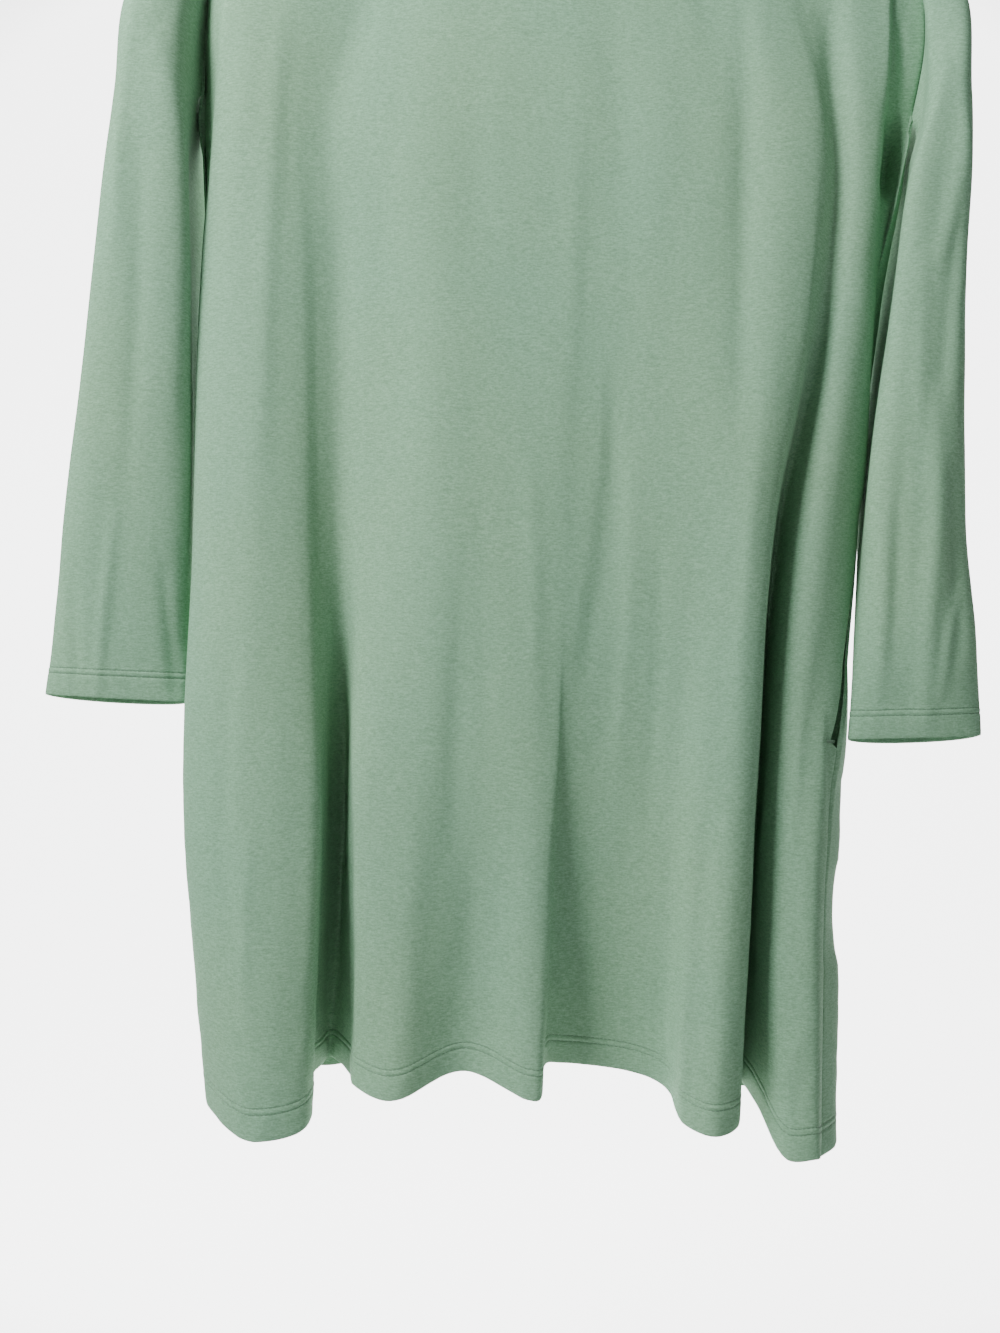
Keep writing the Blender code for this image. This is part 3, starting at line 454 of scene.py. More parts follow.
def top_edge(columns, neck, side):
    """The panel's upper edge: shoulder seam, neckline and shoulder seam."""
    first, last = NECK_SHARES
    line = np.interp(columns, [0, first, last, 1], [-1, 0, 0, 1])
    angle = np.interp(columns, [first, last], [0, math.pi])
    in_neck = np.sin(angle)
    across = np.sign(line) * (NECK_HALF + np.abs(line) * (SHOULDER_HALF - NECK_HALF))
    across = np.where(line == 0, -NECK_HALF * neck_across(angle), across)
    fall = np.abs(line) * (SHOULDER_HEIGHT - NECK_HEIGHT)
    drop = neck["drop"] * in_neck**NECK_CURVE
    depth = roll_depth(drop) + (neck["depth"] - ROLL_RADIUS) * in_neck
    return np.stack([across, side * depth, NECK_HEIGHT + fall - drop], axis=1)


def below_top(top, side, drop):
    depth = np.maximum(np.abs(top[:, 1]), roll_depth(drop))
    return np.stack([top[:, 0], side * depth, top[:, 2] - drop], axis=1)


def panel_middle(table, neck, side, depth_index, step):
    """The middle surface of a body panel, an array of columns, rows and xyz, and its rows.

    depth_index is the column of ARMHOLES that holds this panel's depth.
    """
    folds = fold_points(table)
    shares, columns = column_places(table, folds, step)
    levels = smooth_through(shares, folds, columns)
    top = top_edge(columns, neck, side)
    bent, side_on = (below_top(top, side, drop) for drop in (BEND_DROP, ROLL_RADIUS))
    near_right = limited(1 - 3 * columns)[:, None] ** 2
    near_left = limited(3 * columns - 2)[:, None] ** 2
    chest = []
    for index, share in enumerate((1 / 3, 2 / 3)):
        sheet = (1 - share) * side_on + share * levels[:, 0]
        for name, weight, column in (("right", near_right, 0), ("left", near_left, -1)):
            row = ARMHOLES[name][index]
            edge = np.array([row[0], row[depth_index], row[3]])
            sheet = sheet + weight * (edge - sheet[column])
        chest.append(sheet)
    stations = np.stack([top, bent, side_on, *chest, *levels.transpose(1, 0, 2)])
    chest_knots = ROLL_RADIUS + (CHEST_LENGTH - ROLL_RADIUS) * np.array([1 / 3, 2 / 3])
    level_knots = CHEST_LENGTH + BODY_LENGTH * np.array(LEVEL_SHARES)
    knots = np.concatenate([[0, BEND_DROP, ROLL_RADIUS], chest_knots, level_knots])
    places = row_places()
    return smooth_through(knots, stations, places).transpose(1, 0, 2), places


def sleeve_ring(row, places):
    """Points round one ring at the given shares of its length, from the outer fold forwards."""
    outer, inner, half_depth, centre_depth, back_drop, power, reach = row
    outer, inner = (np.array([x, centre_depth, z]) for x, z in (outer, inner))
    turn = np.linspace(0, 2 * math.pi, RING_POINTS)[:, None]
    outwards, forwards = (
        np.sign(wave) * np.abs(wave) ** (2 / power) for wave in (np.cos(turn), np.sin(turn))
    )
    depth = np.array([0, -half_depth, 0])
    drop = np.array([0, 0, back_drop]) * np.minimum(np.sin(turn), 0)
    points = (outer + inner) / 2 + (outer - inner) / 2 * outwards + depth * forwards + drop
    near = np.sqrt(limited(-outwards[:, 0])) * np.abs(forwards[:, 0]) ** 1.5
    points[:, 0] += np.sign(inner[0] - outer[0]) * near * np.where(forwards[:, 0] > 0, *reach)
    lengths = lengths_of(points)
    return at_lengths(points, lengths / lengths[-1], places)


def sleeve_middle(name, armhole):
    """The middle surface of a sleeve: an array of strands, rows and xyz."""
    loop = np.vstack([armhole, armhole[:1]])
    lengths = lengths_of(loop)
    underarm = lengths[len(armhole) // 2]
    own = np.interp(lengths, [0, underarm, lengths[-1]], [0, 0.5, 1])
    places = np.arange(SLEEVE_STRANDS) / SLEEVE_STRANDS
    first = at_lengths(loop, own, places)
    stations = np.stack([first, *(sleeve_ring(row, places) for row in SLEEVE_RINGS[name])])
    steps = steps_of(stations).mean(axis=1)
    knots = np.concatenate([[0], np.cumsum(steps)])
    rows = np.linspace(0, 1, SLEEVE_ROWS) ** SLEEVE_SPREAD * (knots[-1] - HEM_DEPTH)
    rows = np.concatenate([rows, knots[-1] - np.array(HEM_ROWS)])
    return smooth_through(knots, stations, rows).transpose(1, 0, 2), rows


def surface_normals(middle, outward, closed=False):
    if closed:
        around = np.roll(middle, -1, axis=0) - np.roll(middle, 1, axis=0)
    else:
        around = np.gradient(middle, axis=0)
    along = np.gradient(middle, axis=1)
    return unit(outward * np.cross(around, along))


def near_path(points, path, half_width):
    """How strongly each point feels a path given as across and height, from 0 to 1."""
    flat = points[..., (0, 2)]
    fine = smooth_through(np.linspace(0, 1, len(path)), path, np.linspace(0, 1, PATH_POINTS))
    nearest = np.full(flat.shape[:-1], np.inf)
    along = np.zeros(flat.shape[:-1])
    for k, (start, end) in enumerate(zip(fine[:-1], fine[1:])):
        line = end - start
        t = limited(((flat - start) @ line) / (line @ line))
        away = np.linalg.norm(flat - start - t[..., None] * line, axis=-1)
        closer = away < nearest
        nearest = np.where(closer, away, nearest)
        along = np.where(closer, (k + t) / (len(fine) - 1), along)
    fade = np.sin(math.pi * limited(along)) ** 0.6
    return bell(nearest, half_width) * (END_STRENGTH + (1 - END_STRENGTH) * fade)


def crease_height(piece, points, facing):
    """How far the small creases move each point out."""
    moved = np.zeros(points.shape[:-1])
    for height, half_width, path in CREASES[piece]:
        moved += height * near_path(points, path, half_width) * facing
    return moved


def sharp_fold(points, side, out, back, before, behind, fade_in, fade_out, path):
    """How far one sharp-edged fold moves each point back, less than 0 where it stands out."""
    path = np.array(path)
    heights = points[..., 2]
    edge = smooth_through(-path[:, 1], path[:, 0], np.clip(-heights, -path[0, 1], -path[-1, 1]))
    past = side * (points[..., 0] - edge)
    over = ease(past / EDGE_WIDTH + EDGE_START)
    moved = back * over * bell(past, behind) - out * (1 - over) * bell(past, before)
    return moved * ease((path[0, 1] - heights) / fade_in) * ease((heights - path[-1, 1]) / fade_out)


def pushed(piece, points):
    """The points after the pushes and the sharp folds that reach this piece."""
    points = points.copy()
    for names, (across, depth), half_width, path in PUSHES:
        if piece in names:
            strength = near_path(points, path, half_width)[..., None]
            points = points + strength * np.array([across, depth, 0.0])
    inwards = -1 if piece == "back" else 1
    for name, *fold in SHARP_FOLDS:
        if name == piece:
            points[..., 1] += inwards * sharp_fold(points, *fold)
    return points


def mouth_gap(name, height):
    """How far the front edge stands back from the side seam at the pocket's mouth."""
    share = (MOUTH_TOP - height) / (MOUTH_TOP - MOUTH_BOTTOM)
    return MOUTH_WIDTH[name] * min(share, 1) ** 1.5 if 0 <= share <= 1.02 else 0.0


def place_seam(name, front, back, first_row):
    """Moves a side seam along the cloth and opens its pocket mouth, close to the seam only."""
    order = 1 if name == "right" else -1
    counts = []
    for panel in (front, back):
        reach = np.mean([lengths_of(panel[::order, row]) for row in (first_row, -1)], axis=0)
        counts.append(int(np.searchsorted(reach, SEAM_SPAN)) + 1)
    shifts = np.array(SEAM_SHIFTS[name])[::-1]
    for row in range(first_row, front.shape[1]):
        near_front, near_back = front[::order, row][: counts[0]], back[::order, row][: counts[1]]
        front_lengths, back_lengths = lengths_of(near_front), lengths_of(near_back)
        line = np.vstack([near_front[:0:-1], near_back])
        places = np.concatenate([-front_lengths[:0:-1], back_lengths])
        height = near_front[0, 2]
        shift = np.interp(height, shifts[:, 0], shifts[:, 1])
        start = shift + mouth_gap(name, height)
        front_places = -start - front_lengths * (1 - start / front_lengths[-1])
        back_places = -shift + back_lengths * (1 + shift / back_lengths[-1])
        near_front[:] = at_lengths(line, places, front_places)
        near_back[:] = at_lengths(line, places, back_places)


def drift(points, scale, seed, down=DRIFT_DOWN):
    """Slow unevenness between -1 and 1, longer down the cloth than across it."""
    stretch = Vector((1.0, 1.0, down)) / scale
    flat = points.reshape(-1, 3)
    values = [
        noise.noise(Vector((p[0] * stretch.x, p[1] * stretch.y + seed, p[2] * stretch.z)))
        for p in flat
    ]
    return np.array(values).reshape(points.shape[:-1])


def hem_height(from_edge):
    """The turned hem stands a little proud, with a soft tunnel between its needle lines."""
    past = from_edge - NEEDLE_LINES[-1] - HEM_STEP
    proud = HEM_PROUD / (1 + np.exp(past * HEM_STEEPNESS))
    grooves = sum(bell(from_edge - line, NEEDLE_GROOVE_WIDTH) for line in NEEDLE_LINES)
    return proud - NEEDLE_GROOVE * grooves - LIP_DEPTH * bell(from_edge, LIP_WIDTH)


def add_object(name, data):
    obj = bpy.data.objects.new(name, data)
    bpy.context.scene.collection.objects.link(obj)
    return obj


def mesh_object(name, points, faces, material):
    """A smooth mesh from points in millimetres."""
    mesh = bpy.data.meshes.new(name)
    mesh.from_pydata((np.asarray(points) * MM).tolist(), [], np.asarray(faces).tolist())
    mesh.update()
    mesh.shade_smooth()
    mesh.materials.append(material)
    return add_object(name, mesh)


def grid_object(name, middle, normals, material, closed=False, within=WALL / 2):
    """A thin closed shell round a middle surface; within is its depth inside, by row or one."""
    columns, rows = middle.shape[:2]
    within = np.broadcast_to(within, rows)[None, :, None]
    points = np.concatenate([middle + normals * WALL / 2, middle - normals * within]).reshape(-1, 3)
    inner = columns * rows
    last = columns if closed else columns - 1
    c, r = np.meshgrid(np.arange(last), np.arange(rows - 1), indexing="ij")
    here, after = c * rows + r, ((c + 1) % columns) * rows + r
    outer_faces = np.stack([here, after, after + 1, here + 1], axis=-1).reshape(-1, 4)
    inner_faces = outer_faces[:, ::-1] + inner
    top, after_top = np.arange(last) * rows, (np.arange(last) + 1) % columns * rows
    rims = [(top, after_top), (after_top + rows - 1, top + rows - 1)]
    if not closed:
        down = np.arange(rows - 1)
        rims += [(down + 1, down), (down + inner - rows, down + inner - rows + 1)]
    rims = [np.stack([a, a + inner, b + inner, b], axis=-1) for a, b in rims]
    faces = np.concatenate([outer_faces, inner_faces, *rims])
    obj = mesh_object(name, points, faces, material)
    first = obj.data.polygons[len(outer_faces) // 2]
    if first.normal.dot(Vector(normals.reshape(-1, 3)[first.vertices[0]])) < 0:
        obj.data.flip_normals()
    return obj


def hem_within(from_edge):
    """The cloth is double inside the turned hem, and rounds off at its fold."""
    double = 1 / (1 + np.exp((from_edge - HEM_DEPTH + DOUBLE_STEP) * DOUBLE_STEEPNESS))
    rounded = 1 - FOLD_THINNING * bell(from_edge, FOLD_WIDTH)
    return WALL / 2 + (HEM_WITHIN - WALL / 2) * double * rounded


def seam_groove(from_edge):
    """Cloth turns in where it is sewn to its neighbour."""
    return -SEAM_GROOVE * bell(from_edge, SEAM_GROOVE_WIDTH)


# Materials

def set_inputs(node, values):
    """Sets a node's inputs, and links those that are given another node's output."""
    for name, value in values.items():
        if isinstance(value, bpy.types.NodeSocket):
            node.id_data.links.new(value, node.inputs[name])
        else:
            node.inputs[name].default_value = value


def add_node(tree, kind, values, output):
    node = tree.nodes.new("ShaderNode" + kind)
    set_inputs(node, values)
    return node.outputs[output]


def new_material(name, colour, roughness):
    """A material, its node tree and shader, and the places for its textures."""
    material = bpy.data.materials.new(name)
    material.use_nodes = True
    tree = material.node_tree
    shader = tree.nodes["Principled BSDF"]
    set_inputs(shader, {"Base Color": (*colour, 1), "Roughness": roughness})
    return material, tree, shader, add_node(tree, "TexCoord", {}, "Object")


def scaled_noise(tree, source, scale, detail, stretch):
    places = add_node(tree, "Mapping", {"Vector": source, "Scale": stretch}, "Vector")
    return add_node(tree, "TexNoise", {"Vector": places, "Scale": scale, "Detail": detail}, "Fac")


def blended(tree, factor, low, high, colours):
    ramp = tree.nodes.new("ShaderNodeValToRGB")
    for element, position, colour in zip(ramp.color_ramp.elements, (low, high), colours):
        element.position = position
        element.color = (*colour, 1)
    set_inputs(ramp, {"Fac": factor})
    return ramp.outputs["Color"]


def multiply(tree, first, second):
    mix = tree.nodes.new("ShaderNodeMix")
    mix.data_type, mix.blend_type = "RGBA", "MULTIPLY"
    set_inputs(mix, {"Factor": 1.0, 6: first, 7: second})
    return mix.outputs[2]


def raised(tree, height, strength, distance, under=None):
    """The normal of a surface raised by a height, on top of another normal."""
    values = {"Strength": strength, "Distance": distance, "Height": height}
    if under:
        values["Normal"] = under
    return add_node(tree, "Bump", values, "Normal")


def sewing_thread(name, colour):
    darker, basic, paler = (tuple(k * c for c in colour) for k in (0.9, 1.12, 1.2))
    material, tree, shader, where = new_material(name, basic, 0.55)
    twist = scaled_noise(tree, where, 2600.0, 2.0, (1, 1, 1))
    base = blended(tree, twist, 0.3, 0.7, (darker, paler))
    set_inputs(shader, {"Sheen Weight": 0.2, "Base Color": base})
    return material


def beech(name):
    """Pale wood with long grain along the bar, darker pores and a thin satin varnish."""
    material, tree, shader, where = new_material(name, (0.52, 0.34, 0.18), 0.42)
    grain = scaled_noise(tree, where, 1.0, 6.0, (9, 160, 160))
    pores = scaled_noise(tree, where, 1.0, 2.0, (70, 1400, 1400))
    base = multiply(
        tree, blended(tree, grain, 0.3, 0.72, ((0.42, 0.25, 0.12), (0.60, 0.41, 0.23))),
        blended(tree, pores, 0.30, 0.42, ((0.62, 0.52, 0.42), (1.0, 1.0, 1.0))))
    set_inputs(shader, {"Base Color": base, "Normal": raised(tree, pores, 0.15, 0.0003),
                        "Coat Weight": 0.25, "Coat Roughness": 0.3})
    return material


def brushed_steel(name):
    material, tree, shader, where = new_material(name, (0.62, 0.62, 0.63), 0.3)
    marks = scaled_noise(tree, where, 1.0, 4.0, (900, 900, 60))
    wear = scaled_noise(tree, where, 120.0, 3.0, (1, 1, 1))
    base = blended(tree, wear, 0.3, 0.7, ((0.50, 0.50, 0.51), (0.70, 0.70, 0.71)))
    rough = blended(tree, marks, 0.3, 0.7, ((0.22, 0.22, 0.22), (0.42, 0.42, 0.42)))
    set_inputs(shader, {"Metallic": 1.0, "Base Color": base, "Roughness": rough})
    return material


def jersey(name, colour, ribbed=False):
    """Fine knit: a tight grain, thin sideways slubs and slow changes of depth in the dye."""
    material, tree, shader, where = new_material(name, colour, 0.86)
    slub = scaled_noise(tree, where, 1.0, 2.0, (240, 240, 1100))
    grain = scaled_noise(tree, where, 750.0, 3.0, (1, 1, 1.3))
    cloud = scaled_noise(tree, where, 9.0, 3.0, (1, 1, 0.6))
    base = blended(tree, cloud, 0.3, 0.7, [
        [c * k for c, k in zip(colour, shares)]
        for shares in ((0.96, 0.985, 0.99), (1.03, 1.01, 0.98))])
    for texture, low, high, colours in (
        (slub, 0.34, 0.66, ((0.80, 0.82, 0.80), (1.07, 1.06, 1.07))),
        (grain, 0.36, 0.64, ((0.84, 0.86, 0.84), (1.07, 1.05, 1.07))),
    ):
        base = multiply(tree, base, blended(tree, texture, low, high, colours))
    normal = raised(tree, slub, 0.35, 0.0004)
    normal = raised(tree, grain, 0.3, 0.0003, normal)
    if ribbed:
        ribs = tree.nodes.new("ShaderNodeTexWave")
        ribs.bands_direction = "X"
        set_inputs(ribs, {"Vector": where, "Scale": 150.0, "Distortion": 0.4})
        normal = raised(tree, ribs.outputs["Fac"], 0.8, 0.0008, normal)
    set_inputs(shader, {
        "Base Color": base, "Normal": normal, "Specular IOR Level": 0.16,
        "Sheen Weight": 0.06, "Sheen Roughness": 0.5, "Sheen Tint": (0.70, 0.88, 0.74, 1)})
    return material


def sewn_on(obj):
    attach(obj, "root")
    return obj


def finish_cloth(obj, node):
    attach(obj, "root")
    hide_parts(node)


def stitches(name, lines):
    """Short lengths of thread lying along each line of points, joined into one piece.

    Each line is its points, their outward directions and whether it closes on itself.
    """
    turns = np.linspace(0, 2 * math.pi, 6, endpoint=False)
    rings = ((-0.5, 0.35), (-0.36, 1.0), (0.36, 1.0), (0.5, 0.35))
    local = np.array([(along, size * math.cos(turn), size * math.sin(turn))
                      for along, size in rings for turn in turns])
    side = len(turns)
    quads = [[ring * side + k, ring * side + (k + 1) % side,
              (ring + 1) * side + (k + 1) % side, (ring + 1) * side + k]
             for ring in range(len(rings) - 1) for k in range(side)]
    points, faces = [], []
    for line, outwards, closed in lines:
        if closed:
            line, outwards = (np.vstack([part, part[:1]]) for part in (line, outwards))
        lengths = lengths_of(line)
        centres = np.arange(STITCH_PITCH / 2, lengths[-1], STITCH_PITCH)
        middles = at_lengths(line, lengths, centres)
        ahead, behind = (at_lengths(line, lengths, centres + step) for step in (0.6, -0.6))
        along = unit(ahead - behind)
        up = unit(at_lengths(outwards, lengths, centres))
        aside = np.cross(along, up)
        for centre, forwards, sideways, upwards in zip(middles, along, aside, up):
            faces.extend([[corner + len(points) for corner in quad] for quad in quads])
            points.extend(centre + STITCH_LENGTH * local[:, :1] * forwards
                          + THREAD_RADIUS * (local[:, 1:2] * sideways + local[:, 2:] * upwards))
    return sewn_on(mesh_object(name, points, faces, thread))


def looper(name, lines):
    """The thread that crosses between the two needle lines on the inside of a hem."""
    turns = np.linspace(0, 2 * math.pi, 5, endpoint=False)
    (low, outwards, _), (high, _, _) = lines
    lengths, high_lengths = lengths_of(low), lengths_of(high)
    count = int(lengths[-1] / STITCH_PITCH)
    wanted = np.linspace(0, lengths[-1], 2 * count + 1)
    swing = 0.5 + 0.5 * np.cos(np.arange(len(wanted)) * math.pi)[:, None]
    over = at_lengths(high, high_lengths * lengths[-1] / high_lengths[-1], wanted)
    path = at_lengths(low, lengths, wanted) * (1 - swing) + over * swing
    up = unit(at_lengths(outwards, lengths, wanted))
    path = path - up * (HEM_WITHIN + WALL / 2 + THREAD_RADIUS / 2)
    aside = np.cross(unit(np.gradient(path, axis=0)), up)
    points, faces = [], []
    size = len(path)
    for k, turn in enumerate(turns):
        points.extend(path + THREAD_RADIUS * (math.cos(turn) * aside + math.sin(turn) * up))
        here, after = k * size, (k + 1) % len(turns) * size
        faces.extend([here + i, after + i, after + i + 1, here + i + 1] for i in range(size - 1))
    return sewn_on(mesh_object(name, points, faces, thread))


def needle_lines(middle, normals, from_edge, closed):
    """The twin needle lines of a hem: points on the cloth's face and their directions."""
    lines = []
    for height in NEEDLE_LINES:
        after = int(np.argmax(from_edge < height))
        share = (from_edge[after - 1] - height) / (from_edge[after - 1] - from_edge[after])
        line, outwards = (
            part[:, after - 1] * (1 - share) + part[:, after] * share for part in (middle, normals))
        lines.append((line + outwards * (WALL / 2 + THREAD_PROUD), outwards, closed))
    return lines


def body_cloth():
    """Both panels' middle surfaces, sewn at the sides; also the rows' places and the underarm."""
    front, rows = panel_middle(FRONT_FOLDS, FRONT_NECK, -1, 1, FRONT_COLUMN)
    back, _ = panel_middle(BACK_FOLDS, BACK_NECK, 1, 2, BACK_COLUMN)
    under = int(np.argmin(np.abs(rows - CHEST_LENGTH)))
    for column in (0, -1):
        seam = (front[column, under:] + back[column, under:]) / 2
        front[column, under:] = back[column, under:] = seam
    front, back = pushed("front", front), pushed("back", back)
    for name in ("right", "left"):
        place_seam(name, front, back, under)
    return front, back, rows, under


def edge_distance(middle):
    """How far each point of a panel lies from its nearer side edge."""
    lengths = np.cumsum(steps_of(middle), axis=0)
    along = np.concatenate([np.zeros((1, middle.shape[1])), lengths])
    return np.minimum(along, along[-1] - along)


def hemmed_cloth(name, node, hem, middle, outward, moved, from_edge, closed=False):
    """Makes a piece and its sewn hem, with each point moved outwards by so much and by the hem."""
    moved = moved + hem_height(from_edge)
    middle = middle + surface_normals(middle, outward, closed) * moved[..., None]
    normals = surface_normals(middle, outward, closed)
    obj = grid_object(name + "_cloth", middle, normals, cloth, closed, hem_within(from_edge))
    lines = needle_lines(middle, normals, from_edge, closed)
    sewn = [stitches(hem + "_stitches", lines), looper(hem + "_looper", lines)]
    finish_cloth(obj, node)
    return middle, normals


def dress_pieces():
    """Makes the panels and the sleeves, and returns the panels' surfaces and normals."""
    front, back, rows, under = body_cloth()
    armholes = {
        name: np.vstack([front[column, : under + 1], back[column, under - 1: 0: -1]])
        for name, column in (("right", 0), ("left", -1))}
    from_edge = rows[-1] - rows
    made = {}
    for name, middle, outward in (("front", front, -1), ("back", back, 1)):
        normals = surface_normals(middle, outward)
        facing = limited(normals[..., 1] * outward * FACING)
        sides = edge_distance(middle)
        settled = limited((rows - SETTLE_START) / SETTLE_LENGTH) * limited(sides / SETTLE_SIDE)
        moved = crease_height(name, middle, facing) * limited(sides / CREASE_SIDE)
        lower = ease((rows - LOWER_START) / LOWER_LENGTH)
        near_hem = bell(from_edge - PUCKER_HEIGHT, PUCKER_WIDTH)
        for even, low, hem, size, seed, down in BODY_DRIFT:
            strength = (even + low * lower + hem * near_hem) * settled
            moved += strength * drift(middle, size, PANEL_SEEDS[name] + seed, down)
        moved += seam_groove(sides)
        made[name] = hemmed_cloth(
            name, name + "_panel", name + "_hem", middle, outward, moved, from_edge)
    for name, outward in (("right", -1), ("left", 1)):
        middle, sleeve_rows = sleeve_middle(name, armholes[name])
        from_edge = sleeve_rows[-1] - sleeve_rows
        normals = surface_normals(middle, outward, closed=True)
        facing = limited(-normals[..., 1] * FACING)
        settled = limited(sleeve_rows / SLEEVE_SETTLE)
        moved = crease_height(name, middle, facing) * settled
        for strength, size, seed in SLEEVE_DRIFT:
            moved += strength * drift(middle, size, seed) * settled
        moved += seam_groove(sleeve_rows)
        hemmed_cloth(name + "_sleeve", name + "_sleeve", name + "_cuff", middle, outward, moved,
                     from_edge, closed=True)
    return made


def neckband():
    """A narrow rib band round the neckline, folded at its upper edge."""
    turn = np.linspace(0, 2 * math.pi, BAND_STRANDS, endpoint=False)
    rise = np.sin(turn)
    side = -np.sign(rise)
    drop, depth = (
        np.where(rise > 0, FRONT_NECK[part], BACK_NECK[part]) for part in ("drop", "depth"))
    rise = np.abs(rise)
    sideways = neck_across(np.minimum(turn, 2 * math.pi - turn))
    step = (BAND_GAP + BAND_WALL / 2 + WALL / 2) * sideways**2
    drop = drop * rise**NECK_CURVE
    depth = roll_depth(drop) + (depth - ROLL_RADIUS) * rise
    across = -sideways * (NECK_HALF - step - BAND_GAP)
    ring = np.stack([across, side * depth, NECK_HEIGHT - drop + BAND_LIFT], axis=1)
    lean = unit(np.stack([BAND_LEAN * sideways, 0 * turn, 0 * turn + 1], axis=1))
    rows = np.linspace(0, BAND_HEIGHT - 2, BAND_ROWS)
    rows = np.concatenate([rows, BAND_HEIGHT - np.array(BAND_TOP_ROWS)])
    middle = ring[:, None] + lean[:, None] * rows[None, :, None]
    normals = surface_normals(middle, -1, closed=True)
    in_top = limited((rows - BAND_HEIGHT + BAND_TOP) / BAND_TOP_LENGTH)
    rolled = np.sqrt(np.maximum(1 - in_top**2, BAND_TOP_LEAST))
    middle = middle + normals * ((rolled - 1) * BAND_TOP_TURN)[:, None]
    obj = grid_object("neckband_cloth", middle, normals, rib, closed=True,
                      within=(BAND_WALL - WALL / 2) * rolled)
    finish_cloth(obj, "neckband")


def pocket_bag(name, panels):
    """A flat bag sewn inside a side seam: the front layer, the far fold, then the back layer.

    panels are the surfaces and normals of the front and the back.
    """
    order = 1 if name == "right" else -1
    table = BAG_LINES[name]
    depths = [-row[0] for row in table]
    shares = np.linspace(0, 1, BAG_ROWS)
    levels = table[0][0] + (table[-1][0] - table[0][0]) * shares
    spines = smooth_through(depths, [row[1:] for row in table], -levels)
    first, span, power = BAG_ROUNDING
    seats = []
    for middle, normals in panels:
        heights = -middle[::order][2][:, 2]
        line, outwards = (
            at_lengths(part[::order][2], heights, -levels)[:, :2] for part in (middle, normals))
        inwards = -unit(outwards)
        seats.append((line + inwards * (WALL + BAG_GAP), inwards))
    loops = []
    for row, (level, share) in enumerate(zip(levels, shares)):
        ends = [(seat[row], seat[row] + inwards[row] * BAG_ALLOWANCE) for seat, inwards in seats]
        start = (ends[0][1] + ends[1][1]) / 2
        spine = np.vstack([start, spines[row]])
        knots = lengths_of(spine)
        reach = BAG_NARROWEST + (1 - BAG_NARROWEST) * math.sin(first + span * share) ** power
        along = np.linspace(knots[1] / 2, knots[-1] * reach, BAG_COLUMNS)
        line = smooth_through(knots, spine, along)
        direction = unit(np.gradient(line, axis=0))
        backwards = order * np.stack([-direction[:, 1], direction[:, 0]], axis=1)
        half = BAG_HALF * (BAG_THINNEST + (1 - BAG_THINNEST) * math.sin(math.pi * share))
        nose = line[-1] + direction[-1] * half
        front = np.vstack([*ends[0], line - backwards * half])
        back = np.vstack([*ends[1], line + backwards * half])
        loop = np.vstack([front, nose[None], back[::-1]])
        loops.append(np.column_stack([loop, np.full(len(loop), level)]))
    middle = np.array(loops).transpose(1, 0, 2)
    normals = surface_normals(middle, 1)
    obj = grid_object(name + "_pocket_cloth", middle, normals, cloth, within=BAG_WITHIN)
    finish_cloth(obj, name + "_pocket_bag")


def bar_tack(name, middle, normals):
    """A short bar of close stitches that closes the foot of a pocket's mouth."""
    order = 1 if name == "right" else -1
    edge, outwards = middle[::order][0], normals[::order][0]
    row = int(np.argmin(np.abs(edge[:, 2] - MOUTH_BOTTOM + 1)))
    inside = unit(middle[::order][4, row] - edge[row])
    foot = edge[row] + outwards[row] * (WALL / 2 + 1.2)
    lines = []
    for k, place in enumerate(np.linspace(*TACK_ENDS, TACK_COUNT)):
        centre = foot - inside * place + (TACK_ASIDE * (-1) ** k, 0, 0)
        ends = np.array([centre + (0, 0, TACK_HALF), centre - (0, 0, TACK_HALF)])
        lines.append((ends, np.array([outwards[row]] * 2), False))
    stitches(name + "_bar_tack", lines)


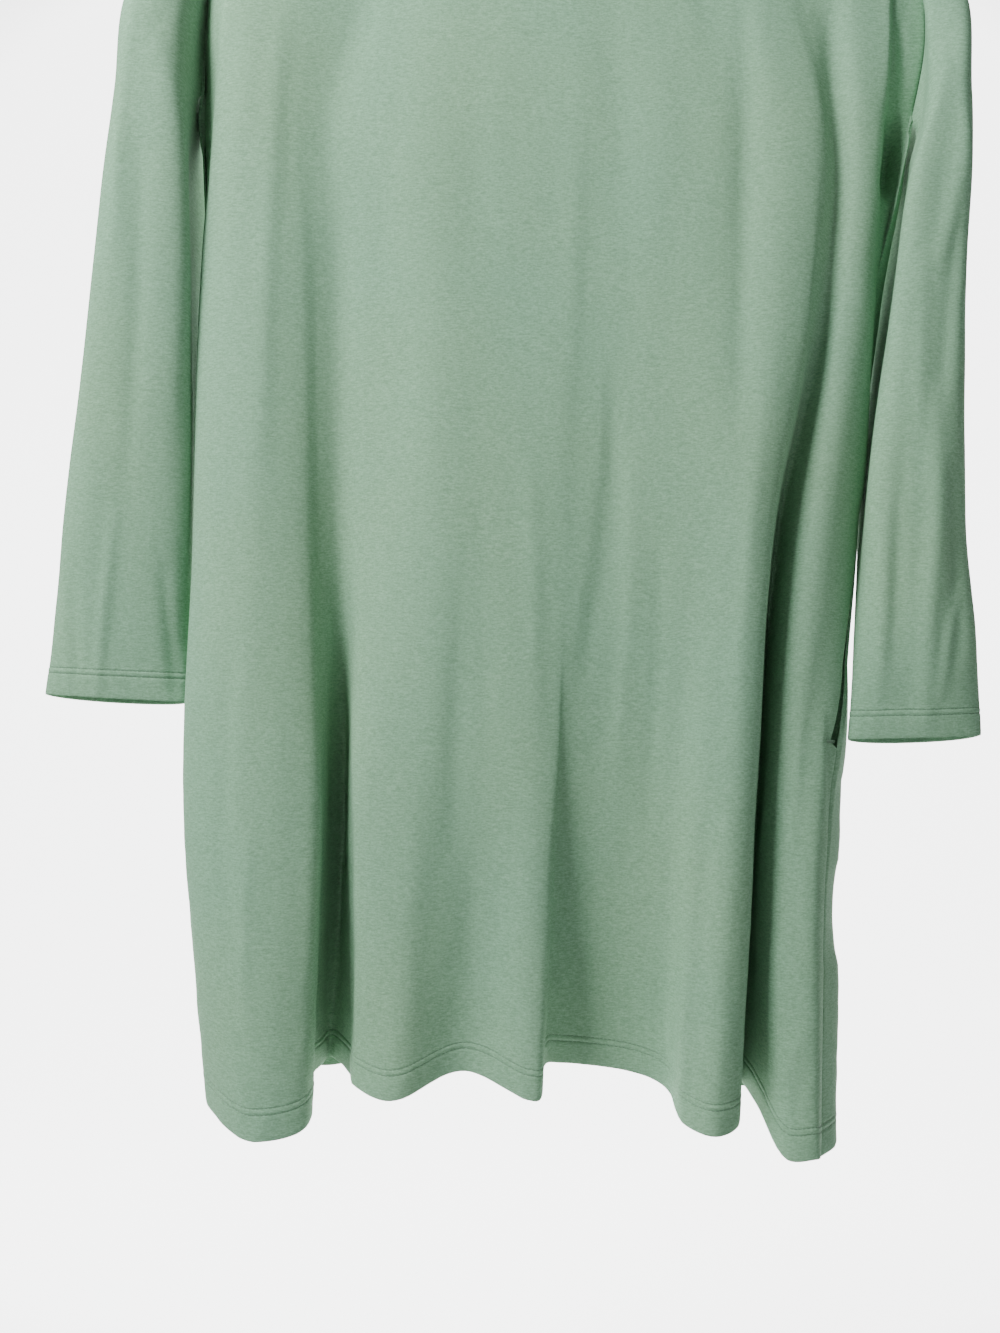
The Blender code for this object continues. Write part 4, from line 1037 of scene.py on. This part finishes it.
def stage():
    """A pale floor that curves up far behind and glows there, soft lights and the camera."""
    profile = [(FLOOR_FRONT, FLOOR_HEIGHT), (BEND_START, FLOOR_HEIGHT)]
    for k in range(1, BEND_STEPS + 1):
        angle = math.radians(90 * k / BEND_STEPS)
        profile.append((BEND_START + BEND_RADIUS * math.sin(angle),
                        FLOOR_HEIGHT + BEND_RADIUS * (1 - math.cos(angle))))
    profile.append((BEND_START + BEND_RADIUS, WALL_TOP))
    points = [(x, y, z) for y, z in profile for x in (-FLOOR_HALF, FLOOR_HALF)]
    faces = [[2 * k, 2 * k + 1, 2 * k + 3, 2 * k + 2] for k in range(len(profile) - 1)]
    material, tree, shader, where = new_material("pale_floor", FLOOR_COLOUR, 0.9)
    away = tree.nodes.new("ShaderNodeVectorMath")
    away.operation = "DISTANCE"
    set_inputs(away, {0: where, 1: GLOW_CENTRE})
    glow = add_node(tree, "MapRange", {"Value": away.outputs["Value"], **GLOW}, "Result")
    set_inputs(shader, {"Emission Color": (1, 1, 1, 1), "Emission Strength": glow})
    mesh_object("studio_floor", points, faces, material)
    for name, place, aim, energy, size in LAMPS:
        light = bpy.data.lights.new(name, "AREA")
        light.energy, light.size, light.color = energy, size, LAMP_COLOUR
        lamp = add_object(name, light)
        lamp.location = place
        lamp.rotation_euler = (Vector(aim) - Vector(place)).to_track_quat("-Z", "Y").to_euler()
    world = bpy.data.worlds.new("soft_world")
    bpy.context.scene.world = world
    world.use_nodes = True
    background = world.node_tree.nodes["Background"]
    set_inputs(background, {"Color": (1, 1, 1, 1), "Strength": WORLD_STRENGTH})
    lens = bpy.data.cameras.new("camera")
    lens.lens, lens.sensor_width = CAMERA_LENS, CAMERA_SENSOR
    camera = add_object("camera", lens)
    camera.location = CAMERA_PLACE
    camera.rotation_euler = (math.radians(90), 0, 0)
    bpy.context.scene.camera = camera


cloth = jersey("sage_jersey_knit", SAGE)
# The thread's darkness is partly painted shade of the stitch grooves.
thread = sewing_thread("sewing_thread_and_painted_shade", THREAD_GREEN_AND_SHADE)
rib = jersey("sage_rib_knit", SAGE, ribbed=True)
panels = dress_pieces()
neckband()
for name in ("right", "left"):
    pocket_bag(name, panels.values())
    bar_tack(name, *panels["front"])
wood = beech("satin_beech")
steel = brushed_steel("satin_steel")
for node, material in (("hanger", wood), ("hanger_hook", steel)):
    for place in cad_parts[node].material_slots:
        place.material = material
stage()
